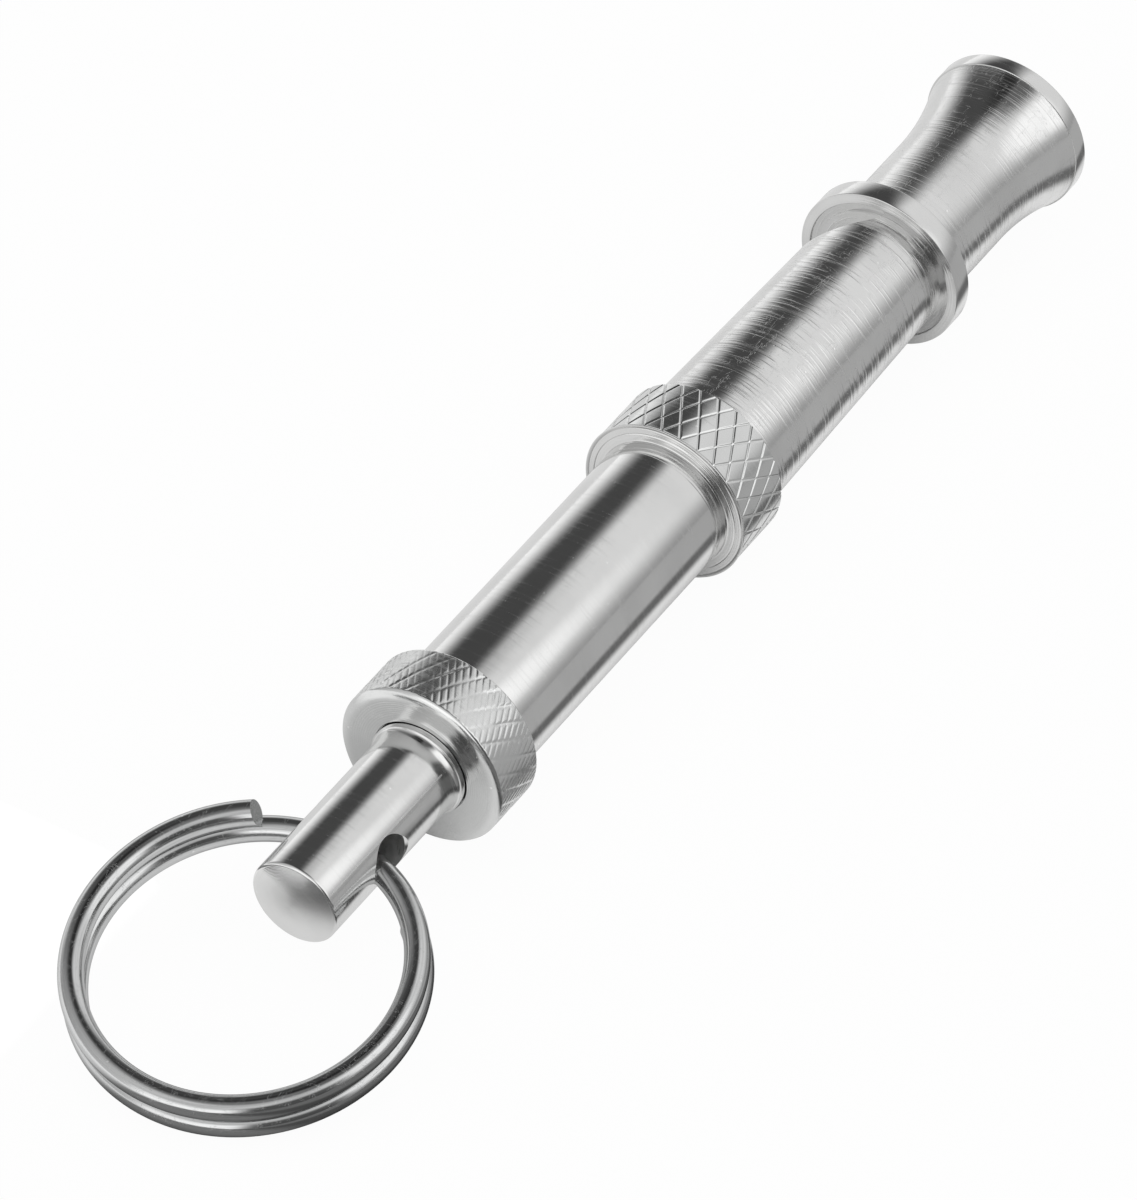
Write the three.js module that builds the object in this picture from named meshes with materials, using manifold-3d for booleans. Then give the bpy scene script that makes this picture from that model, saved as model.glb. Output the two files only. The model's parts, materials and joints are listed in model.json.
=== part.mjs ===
// An adjustable metal dog whistle with its split ring, lying on its side on a level surface.
// Millimetres, +Z up. The whistle's axis runs along X with the mouth towards +X.

import * as THREE from "three";
import { mergeVertices } from "three/addons/utils/BufferGeometryUtils.js";
import Module from "manifold-3d";

// Mouthpiece
const RIM_RADIUS = 5.25;
const RIM_WIDTH = 1.1;
const NECK_RADIUS = 3.83;
const NECK_LENGTH = 6.9;
const FLARE_LENGTH = 6.2;
const FLARE_STEPS = 7;
const COLLAR_RADIUS = 5.4;
const COLLAR_WIDTH = 1.5;
const RECESS_RADIUS = 4.8;
const RECESS_DEPTH = 0.45;
const MOUTH_BORE_RADIUS = 3.3;
const MOUTH_BORE_DEPTH = 6.5;

// Barrel, with the sound window sawn into its shoulder
const BARREL_TOP_RADIUS = 4.02;
const BARREL_END_RADIUS = 4.33;
const BARREL_LENGTH = 19.8;
const BARREL_BORE_RADIUS = 2.6;
const SPIGOT_RADIUS = 3.2;
const SPIGOT_LENGTH = 3;
const WINDOW_LENGTH = 2.8;
const WINDOW_DEPTH = 2;
const WINDOW_ANGLE = THREE.MathUtils.degToRad(30);
const WINDWAY_HEIGHT = 0.7;
const BUSH_RADIUS = 3.3;
const BUSH_LENGTH = 4.3;

// Tuning stem, piston and sleeve
const STEM_RADIUS = 2.4;
const STEM_TIP_RADIUS = 1;
const STEM_HEAD_LENGTH = 8;
const THREAD_PITCH = 0.75;
const LOCK_TURNS = 1.25;
const CHAMBER_LENGTH = 4.8;
const PISTON_LENGTH = 3.2;
const SEAL_SECTION_RADIUS = 0.38;
const SEAL_SIDES = 8;
const SCREW_HEAD_RADIUS = 1.5;
const SCREW_HEAD_HEIGHT = 0.6;
const SCREW_SHANK_RADIUS = 0.55;
const SCREW_SHANK_LENGTH = 2.4;
const SLEEVE_RADIUS = 4;
const SLEEVE_WALL = 0.55;
const SLEEVE_SHOWN = 22;

// Lock nut and the guide ring in its mouth
const NUT_RADIUS = 5.35;
const NUT_WIDTH = 3.6;
const NUT_WEB = 1.1;
const NUT_KNURL_COUNT = 24;
const NUT_KNURL_ROWS = 7;
const LIP_RADIUS = 5.4;
const LIP_WIDTH = 0.6;
const GUIDE_WALL = 0.4;
const GUIDE_DEPTH = 0.9;
const DISH_WIDTH = 0.45;

// End knob
const KNOB_RADIUS = 5.35;
const KNOB_WIDTH = 3.95;
const KNOB_ROUND = 0.45;
const KNOB_KNURL_COUNT = 30;
const KNOB_KNURL_ROWS = 8;
const KNOB_SPIGOT_LENGTH = 4.5;
const KNOB_SPIGOT_WALL = 0.5;
const KNOB_WEB = 1.9;

// Swivel pin and what keeps it in the knob
const PIN_RADIUS = 2.68;
const PIN_LENGTH = 13.15;
const PIN_CROWN = 0.45;
const PIN_CROWN_STEPS = 4;
const HUB_RADIUS = 3.05;
const HUB_DEPTH = 0.7;
const HUB_FILLET_STEPS = 4;
const HUB_FILLET_LENGTH = 0.9;
const SHANK_RADIUS = 1.7;
const SHANK_END = 0.6;
const HOLE_RADIUS = 1.55;
const HOLE_FROM_TIP = 6;
const WASHER_THICKNESS = 0.45;
const CLIP_THICKNESS = 0.45;
const CLIP_WALL = 0.85;
const CLIP_GROOVE_RADIUS = 1.25;
const CLIP_MOUTH = THREE.MathUtils.degToRad(75);

// Split ring
const WIRE_RADIUS = 0.75;
const RING_RADIUS = 9.7;
const RING_TURNS_EACH_WAY = 0.92;
const RING_COIL_GAP = 0.45;
const RING_SWAY = THREE.MathUtils.degToRad(6);
const RING_STEPS_PER_TURN = 34;
const WIRE_SIDES = 8;

// Fits and finish of the turned edges
const FIT = 0.2;
const SEAT = 0.15;
const EDGE = 0.2;
const KNURL_DEPTH = 0.22;
const FLOOR_GAP = 0.1;
const SIDES = 24;
const OVERCUT = 1;
const MERGE_TOLERANCE = 1e-4;

// Stations along the axis, counted from the mouth
const xMouth = 0;
const xRim = xMouth - RIM_WIDTH;
const xNeck = xRim - FLARE_LENGTH;
const xCollarBack = xNeck - NECK_LENGTH;
const xCollar = xCollarBack - COLLAR_WIDTH;
const xBlock = xMouth - MOUTH_BORE_DEPTH;
const xShoulder = xCollar + RECESS_DEPTH - SEAT;
const xSocket = xShoulder + SPIGOT_LENGTH;
const xBarrelEnd = xCollar - BARREL_LENGTH;
const xBushSeat = xBarrelEnd + BUSH_LENGTH + SEAT;
const xPiston = xCollar - CHAMBER_LENGTH;
const xPistonBack = xPiston - PISTON_LENGTH;
const xNut = xBarrelEnd - SEAT;
const xNutWeb = xNut - NUT_WEB;
const xNutMouth = xNut - NUT_WIDTH;
const xLip = xNutMouth - SEAT;
const xLipFace = xLip - LIP_WIDTH;
const lockTravel = LOCK_TURNS * THREAD_PITCH;
const xSleeveFront = xNutWeb - lockTravel - FIT;
const xKnob = xLipFace - SLEEVE_SHOWN;
const xKnobFace = xKnob - KNOB_WIDTH;
const xHubFloor = xKnobFace + HUB_DEPTH;
const xKnobWeb = xHubFloor + KNOB_WEB;
const xWasher = xKnobWeb + SEAT;
const xClip = xWasher + WASHER_THICKNESS + SEAT;
const xClipEnd = xClip + CLIP_THICKNESS + SEAT;
const xPinTip = xKnobFace - PIN_LENGTH;
const xHole = xPinTip + HOLE_FROM_TIP;

// Radii that follow from the fits
const sleeveBore = SLEEVE_RADIUS - SLEEVE_WALL;
const threadBore = STEM_RADIUS + FIT;
const guideBore = SLEEVE_RADIUS + FIT;
const guideRadius = guideBore + GUIDE_WALL;
const knobSpigotRadius = sleeveBore - FIT / 2;
const knobCavity = knobSpigotRadius - KNOB_SPIGOT_WALL;
const shankBore = SHANK_RADIUS + FIT;
const pistonRadius = BARREL_BORE_RADIUS - FIT;
const stemTipBore = STEM_TIP_RADIUS + FIT;
const screwRecess = SCREW_HEAD_RADIUS + FIT;
const screwRecessDepth = SCREW_HEAD_HEIGHT + SEAT;
const screwBore = SCREW_SHANK_RADIUS + FIT;

const wasm = await Module();
wasm.setup();

/** Merges shared corners, drops triangles without area and keeps only positions. */
function closed(geometry) {
  const plain = geometry.clone();
  plain.deleteAttribute("normal");
  plain.deleteAttribute("uv");
  const merged = mergeVertices(plain, MERGE_TOLERANCE);
  const kept = [];
  const index = merged.index.array;
  for (let i = 0; i < index.length; i += 3) {
    const [a, b, c] = [index[i], index[i + 1], index[i + 2]];
    if (a !== b && b !== c && c !== a) kept.push(a, b, c);
  }
  merged.setIndex(kept);
  return merged;
}

/** Revolves [station, radius] points about the X axis, with a flat facing straight down. */
function lathe(profile, sides = SIDES) {
  const points = profile.map(([x, r]) => new THREE.Vector2(r, x));
  const geometry = new THREE.LatheGeometry(points, sides, Math.PI / sides);
  return geometry.rotateZ(-Math.PI / 2);
}

function turned(profile, sides = SIDES) {
  return closed(lathe(profile, sides));
}

/** A ring-shaped profile returns to its first point. */
function ringProfile(profile) {
  return [...profile, profile[0]];
}

/** Points of a knurled band, as equal rows between two stations. */
function knurlRows(from, to, radius, rows) {
  return Array.from({ length: rows + 1 }, (_, i) => [THREE.MathUtils.lerp(from, to, i / rows), radius]);
}

/** Turns a ring whose rows first to last carry a raised diamond knurl of the given count. */
function knurled(profile, first, last, count) {
  const sides = 2 * count;
  const geometry = lathe(profile, sides);
  const position = geometry.attributes.position;
  const perRing = profile.length;
  for (let ring = 0; ring <= sides; ring += 1) {
    for (let row = first; row <= last; row += 1) {
      if ((ring + row) % 2 === 0) continue;
      const at = ring * perRing + row;
      const radius = Math.hypot(position.getY(at), position.getZ(at));
      const scale = (radius - KNURL_DEPTH) / radius;
      position.setY(at, position.getY(at) * scale);
      position.setZ(at, position.getZ(at) * scale);
    }
  }
  return closed(geometry);
}

function solidOf(geometry) {
  const mesh = new wasm.Mesh({
    numProp: 3,
    vertProperties: new Float32Array(geometry.attributes.position.array),
    triVerts: new Uint32Array(geometry.index.array),
  });
  return new wasm.Manifold(mesh);
}

/** Cuts the tool's shape out of the piece. */
function cut(piece, tool) {
  const mesh = solidOf(piece).subtract(solidOf(tool)).getMesh();
  const geometry = new THREE.BufferGeometry();
  geometry.setAttribute("position", new THREE.BufferAttribute(mesh.vertProperties, 3));
  geometry.setIndex(new THREE.BufferAttribute(mesh.triVerts, 1));
  return geometry;
}

function metal(color, roughness) {
  return new THREE.MeshStandardMaterial({ color, roughness, metalness: 1, flatShading: true });
}

function named(name, geometry, material) {
  const mesh = new THREE.Mesh(geometry, material);
  mesh.name = name;
  return mesh;
}

/** The concave flare: an arc that leaves the neck level and reaches the rim. */
function flarePoints() {
  const rise = RIM_RADIUS - NECK_RADIUS;
  const arc = (FLARE_LENGTH ** 2 + rise ** 2) / (2 * rise);
  return Array.from({ length: FLARE_STEPS + 1 }, (_, i) => {
    const run = (FLARE_LENGTH * i) / FLARE_STEPS;
    return [xNeck + run, NECK_RADIUS + arc - Math.sqrt(arc ** 2 - run ** 2)];
  });
}

function mouthpiece() {
  const profile = ringProfile([
    [xCollar, RECESS_RADIUS],
    [xCollar, COLLAR_RADIUS - EDGE],
    [xCollar + EDGE, COLLAR_RADIUS],
    [xCollarBack - EDGE, COLLAR_RADIUS],
    [xCollarBack, COLLAR_RADIUS - EDGE],
    [xCollarBack, NECK_RADIUS],
    ...flarePoints(),
    [xMouth - EDGE, RIM_RADIUS],
    [xMouth, RIM_RADIUS - EDGE],
    [xMouth, MOUTH_BORE_RADIUS + EDGE],
    [xMouth - EDGE, MOUTH_BORE_RADIUS],
    [xBlock, MOUTH_BORE_RADIUS],
    [xBlock, BARREL_BORE_RADIUS],
    [xSocket + SEAT, BARREL_BORE_RADIUS],
    [xSocket + SEAT, SPIGOT_RADIUS + FIT],
    [xShoulder + SEAT, SPIGOT_RADIUS + FIT],
    [xShoulder + SEAT, RECESS_RADIUS],
  ]);
  return named("mouthpiece", turned(profile), metal(0xc4c5c6, 0.3));
}

/** The block that leaves a thin windway above its flat, aimed at the sound window. */
function windwayBlock() {
  const radius = BARREL_BORE_RADIUS - FIT;
  const flat = Math.acos((BARREL_BORE_RADIUS - WINDWAY_HEIGHT) / radius);
  const shape = new THREE.Shape();
  shape.absarc(0, 0, radius, flat, 2 * Math.PI - flat, false);
  const length = xBlock - xCollar - SEAT;
  const geometry = new THREE.ExtrudeGeometry(shape, { depth: length, bevelEnabled: false, curveSegments: SIDES });
  // The section's +X, the flat's side, becomes +Y, and the extrusion runs along +X
  geometry.applyMatrix4(new THREE.Matrix4().makeBasis(
    new THREE.Vector3(0, 1, 0),
    new THREE.Vector3(0, 0, 1),
    new THREE.Vector3(1, 0, 0),
  ));
  geometry.rotateX(WINDOW_ANGLE).translate(xCollar + SEAT / 2, 0, 0);
  return named("windway_block", closed(geometry), metal(0xb4b5b6, 0.4));
}

/** The slanting saw cut that opens the bore just below the collar. */
function windowTool() {
  const reach = COLLAR_RADIUS + OVERCUT;
  const shape = new THREE.Shape([
    new THREE.Vector2(xCollar, BARREL_TOP_RADIUS - WINDOW_DEPTH),
    new THREE.Vector2(xCollar, reach),
    new THREE.Vector2(xCollar - WINDOW_LENGTH, reach),
    new THREE.Vector2(xCollar - WINDOW_LENGTH, BARREL_TOP_RADIUS + SEAT / 2),
  ]);
  const geometry = new THREE.ExtrudeGeometry(shape, { depth: 2 * reach, bevelEnabled: false });
  return closed(geometry.translate(0, 0, -reach).rotateX(WINDOW_ANGLE));
}

function barrel() {
  const profile = ringProfile([
    [xBarrelEnd, BARREL_END_RADIUS - EDGE],
    [xBarrelEnd + EDGE, BARREL_END_RADIUS],
    [xShoulder, BARREL_TOP_RADIUS],
    [xShoulder, SPIGOT_RADIUS],
    [xSocket, SPIGOT_RADIUS],
    [xSocket, BARREL_BORE_RADIUS],
    [xBushSeat, BARREL_BORE_RADIUS],
    [xBushSeat, BUSH_RADIUS + FIT / 2],
    [xBarrelEnd, BUSH_RADIUS + FIT / 2],
  ]);
  return named("barrel", cut(turned(profile), windowTool()), metal(0xbcbdbe, 0.35));
}

function threadBush() {
  const profile = ringProfile([
    [xBarrelEnd, threadBore],
    [xBarrelEnd, BUSH_RADIUS],
    [xBarrelEnd + BUSH_LENGTH, BUSH_RADIUS],
    [xBarrelEnd + BUSH_LENGTH, threadBore],
  ]);
  return named("thread_bush", turned(profile), metal(0xb5a36a, 0.4));
}

const sealMiddle = (xPiston - screwRecessDepth + xPistonBack) / 2;
const sealRadius = pistonRadius - SEAL_SECTION_RADIUS;
const grooveHalf = SEAL_SECTION_RADIUS + SEAT;
const grooveRadius = sealRadius - SEAL_SECTION_RADIUS - SEAT / 2;

function piston() {
  const profile = ringProfile([
    [xPistonBack, stemTipBore],
    [xPistonBack, pistonRadius],
    [sealMiddle - grooveHalf, pistonRadius],
    [sealMiddle - grooveHalf, grooveRadius],
    [sealMiddle + grooveHalf, grooveRadius],
    [sealMiddle + grooveHalf, pistonRadius],
    [xPiston, pistonRadius],
    [xPiston, screwRecess],
    [xPiston - screwRecessDepth, screwRecess],
    [xPiston - screwRecessDepth, stemTipBore],
  ]);
  return named("piston", turned(profile), metal(0xb5a36a, 0.35));
}

function pistonSeal() {
  const section = Array.from({ length: SEAL_SIDES }, (_, i) => {
    const angle = (2 * Math.PI * i) / SEAL_SIDES;
    return [
      sealMiddle + SEAL_SECTION_RADIUS * Math.sin(angle),
      sealRadius + SEAL_SECTION_RADIUS * Math.cos(angle),
    ];
  });
  const rubber = new THREE.MeshStandardMaterial({ color: 0x1c1c1d, roughness: 0.7, metalness: 0, flatShading: true });
  return named("piston_seal", turned(ringProfile(section)), rubber);
}

/** The screw head bears on the stem's tip and leaves the piston free to stay still while the stem turns. */
function pistonScrew() {
  const xSeat = xPiston - SCREW_HEAD_HEIGHT;
  const profile = [
    [xSeat - SCREW_SHANK_LENGTH, 0],
    [xSeat - SCREW_SHANK_LENGTH, SCREW_SHANK_RADIUS],
    [xSeat, SCREW_SHANK_RADIUS],
    [xSeat, SCREW_HEAD_RADIUS],
    [xPiston, SCREW_HEAD_RADIUS],
    [xPiston, 0],
  ];
  return named("piston_screw", turned(profile), metal(0xa9aaab, 0.35));
}

function tuningStem() {
  const xTip = xPiston - screwRecessDepth;
  const xShoulderOfTip = xPistonBack - SEAT;
  const xHead = xSleeveFront - STEM_HEAD_LENGTH;
  const xScrewHole = xPiston - SCREW_HEAD_HEIGHT - SCREW_SHANK_LENGTH - SEAT;
  const profile = [
    [xHead, 0],
    [xHead, knobSpigotRadius],
    [xSleeveFront, knobSpigotRadius],
    [xSleeveFront, STEM_RADIUS],
    [xShoulderOfTip, STEM_RADIUS],
    [xShoulderOfTip, STEM_TIP_RADIUS],
    [xTip, STEM_TIP_RADIUS],
    [xTip, screwBore],
    [xScrewHole, screwBore],
    [xScrewHole, 0],
  ];
  return named("tuning_stem", turned(profile), metal(0xb5a36a, 0.35));
}

function tuningSleeve() {
  const profile = ringProfile([
    [xKnob + SEAT, sleeveBore],
    [xKnob + SEAT, SLEEVE_RADIUS],
    [xSleeveFront - EDGE, SLEEVE_RADIUS],
    [xSleeveFront, SLEEVE_RADIUS - EDGE],
    [xSleeveFront, sleeveBore],
  ]);
  return named("tuning_sleeve", turned(profile), metal(0xcfd0d1, 0.15));
}

function lockNut() {
  const xGuideSeat = xNutMouth + GUIDE_DEPTH + SEAT;
  const band = knurlRows(xNutMouth + EDGE, xNut - EDGE, NUT_RADIUS, NUT_KNURL_ROWS);
  const front = [
    [xNutMouth, guideRadius + FIT],
    [xNutMouth, NUT_RADIUS - EDGE - KNURL_DEPTH],
  ];
  const profile = ringProfile([
    ...front,
    ...band,
    [xNut, NUT_RADIUS - EDGE - KNURL_DEPTH],
    [xNut, threadBore],
    [xNutWeb, threadBore],
    [xNutWeb, guideBore],
    [xGuideSeat, guideBore],
    [xGuideSeat, guideRadius + FIT],
  ]);
  const last = front.length + band.length - 1;
  return named("lock_nut", knurled(profile, front.length, last, NUT_KNURL_COUNT), metal(0xc6c7c8, 0.25));
}

/** The smooth lip in the nut's mouth, on which the nut turns and which slides on the sleeve. */
function lockNutRing() {
  const profile = ringProfile([
    [xLipFace, guideBore + DISH_WIDTH],
    [xLipFace, LIP_RADIUS - EDGE],
    [xLipFace + EDGE, LIP_RADIUS],
    [xLip, LIP_RADIUS],
    [xLip, guideRadius],
    [xNutMouth + GUIDE_DEPTH, guideRadius],
    [xNutMouth + GUIDE_DEPTH, guideBore],
    [xLip, guideBore],
  ]);
  return named("lock_nut_ring", turned(profile), metal(0xd0d1d2, 0.15));
}

function endKnob() {
  const band = knurlRows(xKnobFace + KNOB_ROUND, xKnob - KNOB_ROUND, KNOB_RADIUS, KNOB_KNURL_ROWS);
  const front = [
    [xHubFloor, HUB_RADIUS + SEAT],
    [xKnobFace, HUB_RADIUS + SEAT],
    [xKnobFace, KNOB_RADIUS - KNOB_ROUND - KNURL_DEPTH],
  ];
  const profile = ringProfile([
    ...front,
    ...band,
    [xKnob, KNOB_RADIUS - KNOB_ROUND - KNURL_DEPTH],
    [xKnob, knobSpigotRadius],
    [xKnob + KNOB_SPIGOT_LENGTH, knobSpigotRadius],
    [xKnob + KNOB_SPIGOT_LENGTH, knobCavity],
    [xKnobWeb, knobCavity],
    [xKnobWeb, shankBore],
    [xHubFloor, shankBore],
  ]);
  const last = front.length + band.length - 1;
  return named("end_knob", knurled(profile, front.length, last, KNOB_KNURL_COUNT), metal(0xc2c3c4, 0.3));
}

function crossHoleTool() {
  const length = 2 * (PIN_RADIUS + OVERCUT);
  return closed(new THREE.CylinderGeometry(HOLE_RADIUS, HOLE_RADIUS, length, SIDES).translate(xHole, 0, 0));
}

function swivelPin() {
  const crown = Array.from({ length: PIN_CROWN_STEPS + 1 }, (_, i) => {
    const angle = (Math.PI / 2) * (i / PIN_CROWN_STEPS);
    return [xPinTip + PIN_CROWN * (1 - Math.cos(angle)), PIN_RADIUS * Math.sin(angle)];
  });
  const fillet = Array.from({ length: HUB_FILLET_STEPS + 1 }, (_, i) => {
    const angle = (Math.PI / 2) * (i / HUB_FILLET_STEPS);
    return [
      xKnobFace - HUB_FILLET_LENGTH * (1 - Math.sin(angle)),
      HUB_RADIUS - (HUB_RADIUS - PIN_RADIUS) * Math.cos(angle),
    ];
  });
  const profile = [
    ...crown,
    ...fillet,
    [xHubFloor - SEAT, HUB_RADIUS],
    [xHubFloor - SEAT, SHANK_RADIUS],
    [xClip - SEAT / 2, SHANK_RADIUS],
    [xClip - SEAT / 2, CLIP_GROOVE_RADIUS],
    [xClipEnd - SEAT / 2, CLIP_GROOVE_RADIUS],
    [xClipEnd - SEAT / 2, SHANK_RADIUS],
    [xClipEnd + SHANK_END, SHANK_RADIUS],
    [xClipEnd + SHANK_END, 0],
  ];
  return named("swivel_pin", cut(turned(profile), crossHoleTool()), metal(0xd2d3d4, 0.12));
}

function swivelWasher() {
  const profile = ringProfile([
    [xWasher, shankBore],
    [xWasher, knobCavity - FIT],
    [xWasher + WASHER_THICKNESS, knobCavity - FIT],
    [xWasher + WASHER_THICKNESS, shankBore],
  ]);
  return named("swivel_washer", turned(profile), metal(0xb9babb, 0.35));
}

/** An open spring clip in the shank's groove. */
function swivelClip() {
  const inner = CLIP_GROOVE_RADIUS + SEAT;
  const outer = inner + CLIP_WALL;
  const shape = new THREE.Shape();
  shape.absarc(0, 0, outer, CLIP_MOUTH / 2, 2 * Math.PI - CLIP_MOUTH / 2, false);
  shape.absarc(0, 0, inner, 2 * Math.PI - CLIP_MOUTH / 2, CLIP_MOUTH / 2, true);
  const options = { depth: CLIP_THICKNESS, bevelEnabled: false, curveSegments: SIDES };
  const geometry = new THREE.ExtrudeGeometry(shape, options).rotateY(Math.PI / 2).translate(xClip, 0, 0);
  return named("swivel_clip", closed(geometry), metal(0x77797b, 0.4));
}

const flatHeight = Math.max(COLLAR_RADIUS, LIP_RADIUS, RIM_RADIUS) * Math.cos(Math.PI / SIDES);
const axisHeight = Math.max(flatHeight, NUT_RADIUS, KNOB_RADIUS);
const coilPitch = 2 * WIRE_RADIUS + RING_COIL_GAP;

/** How far the ring slopes down from the cross hole until its far side almost meets the surface. */
function ringSlope() {
  const reach = RING_RADIUS * (1 + Math.cos(RING_SWAY));
  const drop = axisHeight - FLOOR_GAP - WIRE_RADIUS;
  return Math.asin(drop / Math.hypot(reach, coilPitch / 2)) - Math.atan2(coilPitch / 2, reach);
}

/** The wire's middle line: a flat helix that passes through the cross hole half way along. */
class RingPath extends THREE.Curve {
  getPoint(t, target = new THREE.Vector3()) {
    const turn = (2 * t - 1) * RING_TURNS_EACH_WAY;
    const angle = 2 * Math.PI * turn - RING_SWAY;
    const along = RING_RADIUS * (Math.cos(RING_SWAY) - Math.cos(angle));
    const across = RING_RADIUS * (Math.sin(RING_SWAY) + Math.sin(angle));
    target.set(-along, across, -turn * coilPitch);
    return target.applyAxisAngle(new THREE.Vector3(0, 1, 0), -ringSlope());
  }
}

/** The least gap between neighbouring coils, measured between points half a turn or more apart. */
function leastCoilGap(points) {
  let least = Infinity;
  for (let i = 0; i < points.length; i += 1) {
    for (let j = i + Math.floor(RING_STEPS_PER_TURN / 2); j < points.length; j += 1) {
      least = Math.min(least, points[i].distanceTo(points[j]) - 2 * WIRE_RADIUS);
    }
  }
  return least;
}

function splitRing() {
  const path = new RingPath();
  const steps = Math.round(2 * RING_TURNS_EACH_WAY * RING_STEPS_PER_TURN);
  const section = new THREE.Shape();
  section.absarc(0, 0, WIRE_RADIUS, 0, 2 * Math.PI, false);
  const options = { steps, curveSegments: WIRE_SIDES, extrudePath: path };
  const geometry = new THREE.ExtrudeGeometry(section, options).translate(xHole, 0, 0);
  console.log(`split_ring: least gap to itself ${leastCoilGap(path.getSpacedPoints(steps)).toFixed(3)} mm`);
  return named("split_ring", closed(geometry), metal(0x9c9d9f, 0.25));
}

/** Everything on the whistle's axis, set down so that the origin is under the middle of the whole. */
function dogWhistle() {
  const whistle = new THREE.Group();
  whistle.add(
    mouthpiece(),
    windwayBlock(),
    barrel(),
    threadBush(),
    piston(),
    pistonSeal(),
    pistonScrew(),
    tuningStem(),
    tuningSleeve(),
    lockNut(),
    lockNutRing(),
    endKnob(),
    swivelPin(),
    swivelWasher(),
    swivelClip(),
    splitRing(),
  );
  const box = new THREE.Box3().setFromObject(whistle, true);
  const middle = box.getCenter(new THREE.Vector3());
  whistle.position.set(-middle.x, -middle.y, -box.min.z);
  const model = new THREE.Group();
  model.add(whistle);
  return model;
}

export default dogWhistle();
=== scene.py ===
"""An adjustable metal dog whistle with its split ring, dressed around its frame."""

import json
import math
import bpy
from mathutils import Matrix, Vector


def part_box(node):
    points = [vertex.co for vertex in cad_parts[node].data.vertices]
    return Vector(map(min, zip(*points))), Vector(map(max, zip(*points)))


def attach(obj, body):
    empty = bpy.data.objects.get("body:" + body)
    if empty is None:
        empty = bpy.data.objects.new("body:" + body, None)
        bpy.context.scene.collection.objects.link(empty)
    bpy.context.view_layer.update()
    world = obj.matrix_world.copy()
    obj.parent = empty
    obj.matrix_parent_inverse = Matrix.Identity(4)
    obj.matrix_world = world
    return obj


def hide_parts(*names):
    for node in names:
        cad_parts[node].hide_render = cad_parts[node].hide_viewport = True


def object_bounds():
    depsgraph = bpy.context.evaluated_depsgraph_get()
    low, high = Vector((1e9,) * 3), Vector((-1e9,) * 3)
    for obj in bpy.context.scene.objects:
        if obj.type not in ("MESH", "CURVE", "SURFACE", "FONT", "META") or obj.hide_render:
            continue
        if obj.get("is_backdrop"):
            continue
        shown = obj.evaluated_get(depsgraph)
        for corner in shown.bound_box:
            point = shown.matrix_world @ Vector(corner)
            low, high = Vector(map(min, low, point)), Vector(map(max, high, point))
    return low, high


bl_info = {
    "name": "Dog Whistle",
    "version": (1, 0, 0),
    "blender": (4, 5, 0),
    "location": "View3D > Sidebar > Whistle",
    "description": "Builds the turned, knurled and wound pieces of a dog whistle around its frame",
    "category": "Object",
}

import bmesh
import bpy
from bpy.props import FloatProperty, FloatVectorProperty, IntProperty, PointerProperty
from mathutils import Matrix, Vector

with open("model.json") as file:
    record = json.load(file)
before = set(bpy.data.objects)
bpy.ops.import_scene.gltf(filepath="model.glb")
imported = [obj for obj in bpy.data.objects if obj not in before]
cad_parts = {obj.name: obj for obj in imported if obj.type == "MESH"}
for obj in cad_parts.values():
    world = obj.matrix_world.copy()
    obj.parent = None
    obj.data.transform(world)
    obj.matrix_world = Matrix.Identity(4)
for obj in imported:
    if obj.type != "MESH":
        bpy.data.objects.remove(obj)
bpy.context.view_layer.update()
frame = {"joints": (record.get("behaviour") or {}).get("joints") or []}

MM = 0.001
TURN = 2 * math.pi

# The turned CAD pieces have this many flats, and one of them faces straight down
CAD_FLATS = 24
# Fineness of the turned pieces
SEGMENTS = 192
EDGE_STEPS = 4
FLARE_STEPS = 40
ROUND_ROWS = 10
DOME_STEPS = 128
CLIP_STEPS = 48
SEAL_STEPS = 32
CHAMFER_ROWS = 3
THREAD_ROWS = 16
THREAD_SEGMENTS = 96
WIRE_SIDES = 40
WIRE_STEPS = 480
# The knurls' lines run along the mesh, so these are multiples of their counts
NUT_SEGMENTS = 972
KNOB_SEGMENTS = 750
# A radius below this is a point on the axis, and an edge above this angle is crisp
POLE = 1e-9
SHARP = math.radians(28)
# Two pieces that bear on each other show a line as fine as this
SEAM = 0.03 * MM
# Rows to each ring that a facing cut leaves, their spacing, and the height of the rings on faces and pin tip
WAVE_ROWS = 4
FACING_STEP = 0.04 * MM
FACING = 0.002 * MM
TIP_FACING = 0.0028 * MM
# Rounded share of the fine bead on the lip, and half the thread's groove as a share of its pitch
BEAD_ROUND = 0.6
THREAD_SHARE = 0.5
# Pixels of the image's height, in which the focal length is given
IMAGE_HEIGHT = 1200
# From full to none
FADE = (1.0, 0.0)
# Levels of a noise between which it comes to count as a worn, scratched or nicked patch, an arc or a smudge
WORN_PATCHES = (0.35, 0.65)
ARCS = (0.5, 0.7)
HAIR_PATCHES = (0.52, 0.64)
NICK_PATCHES = (0.55, 0.6)
SMUDGED = (0.35, 0.7)
STREAKED = (0.3, 0.7)
GRAINED = (0.2, 0.8)
# How deep in a line its groove takes its painted tone, and how deep in two lines their crossing takes its
# painted glint
GROOVED = (0.5, 1.0)
CROSSED = (0.2, 0.5)
# Half the width of a hairline and of a nick, as shares of their noise and of their cells
HAIRLINE = (0.0, 0.006)
NICK = (0.05, 0.1)
# How the two families of hairlines are turned and stretched
HAIR_LAYS = (
    ((0.3, 0.5, 0.9), (1.0, 5.0, 3.0)),
    ((0.9, -0.4, -0.6), (4.0, 1.0, 3.0)),
)
# Steps of the arcs beside those of the rings, and how fine the marks are beside the smudges
ARC_STEP = 0.9
ARC_BREAKS = 1.9
HAIR_FINENESS = 5.0
HAIR_PATCH_FINENESS = 2.3
NICK_FINENESS = 4.5
NICK_PATCH_FINENESS = 3.0
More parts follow.
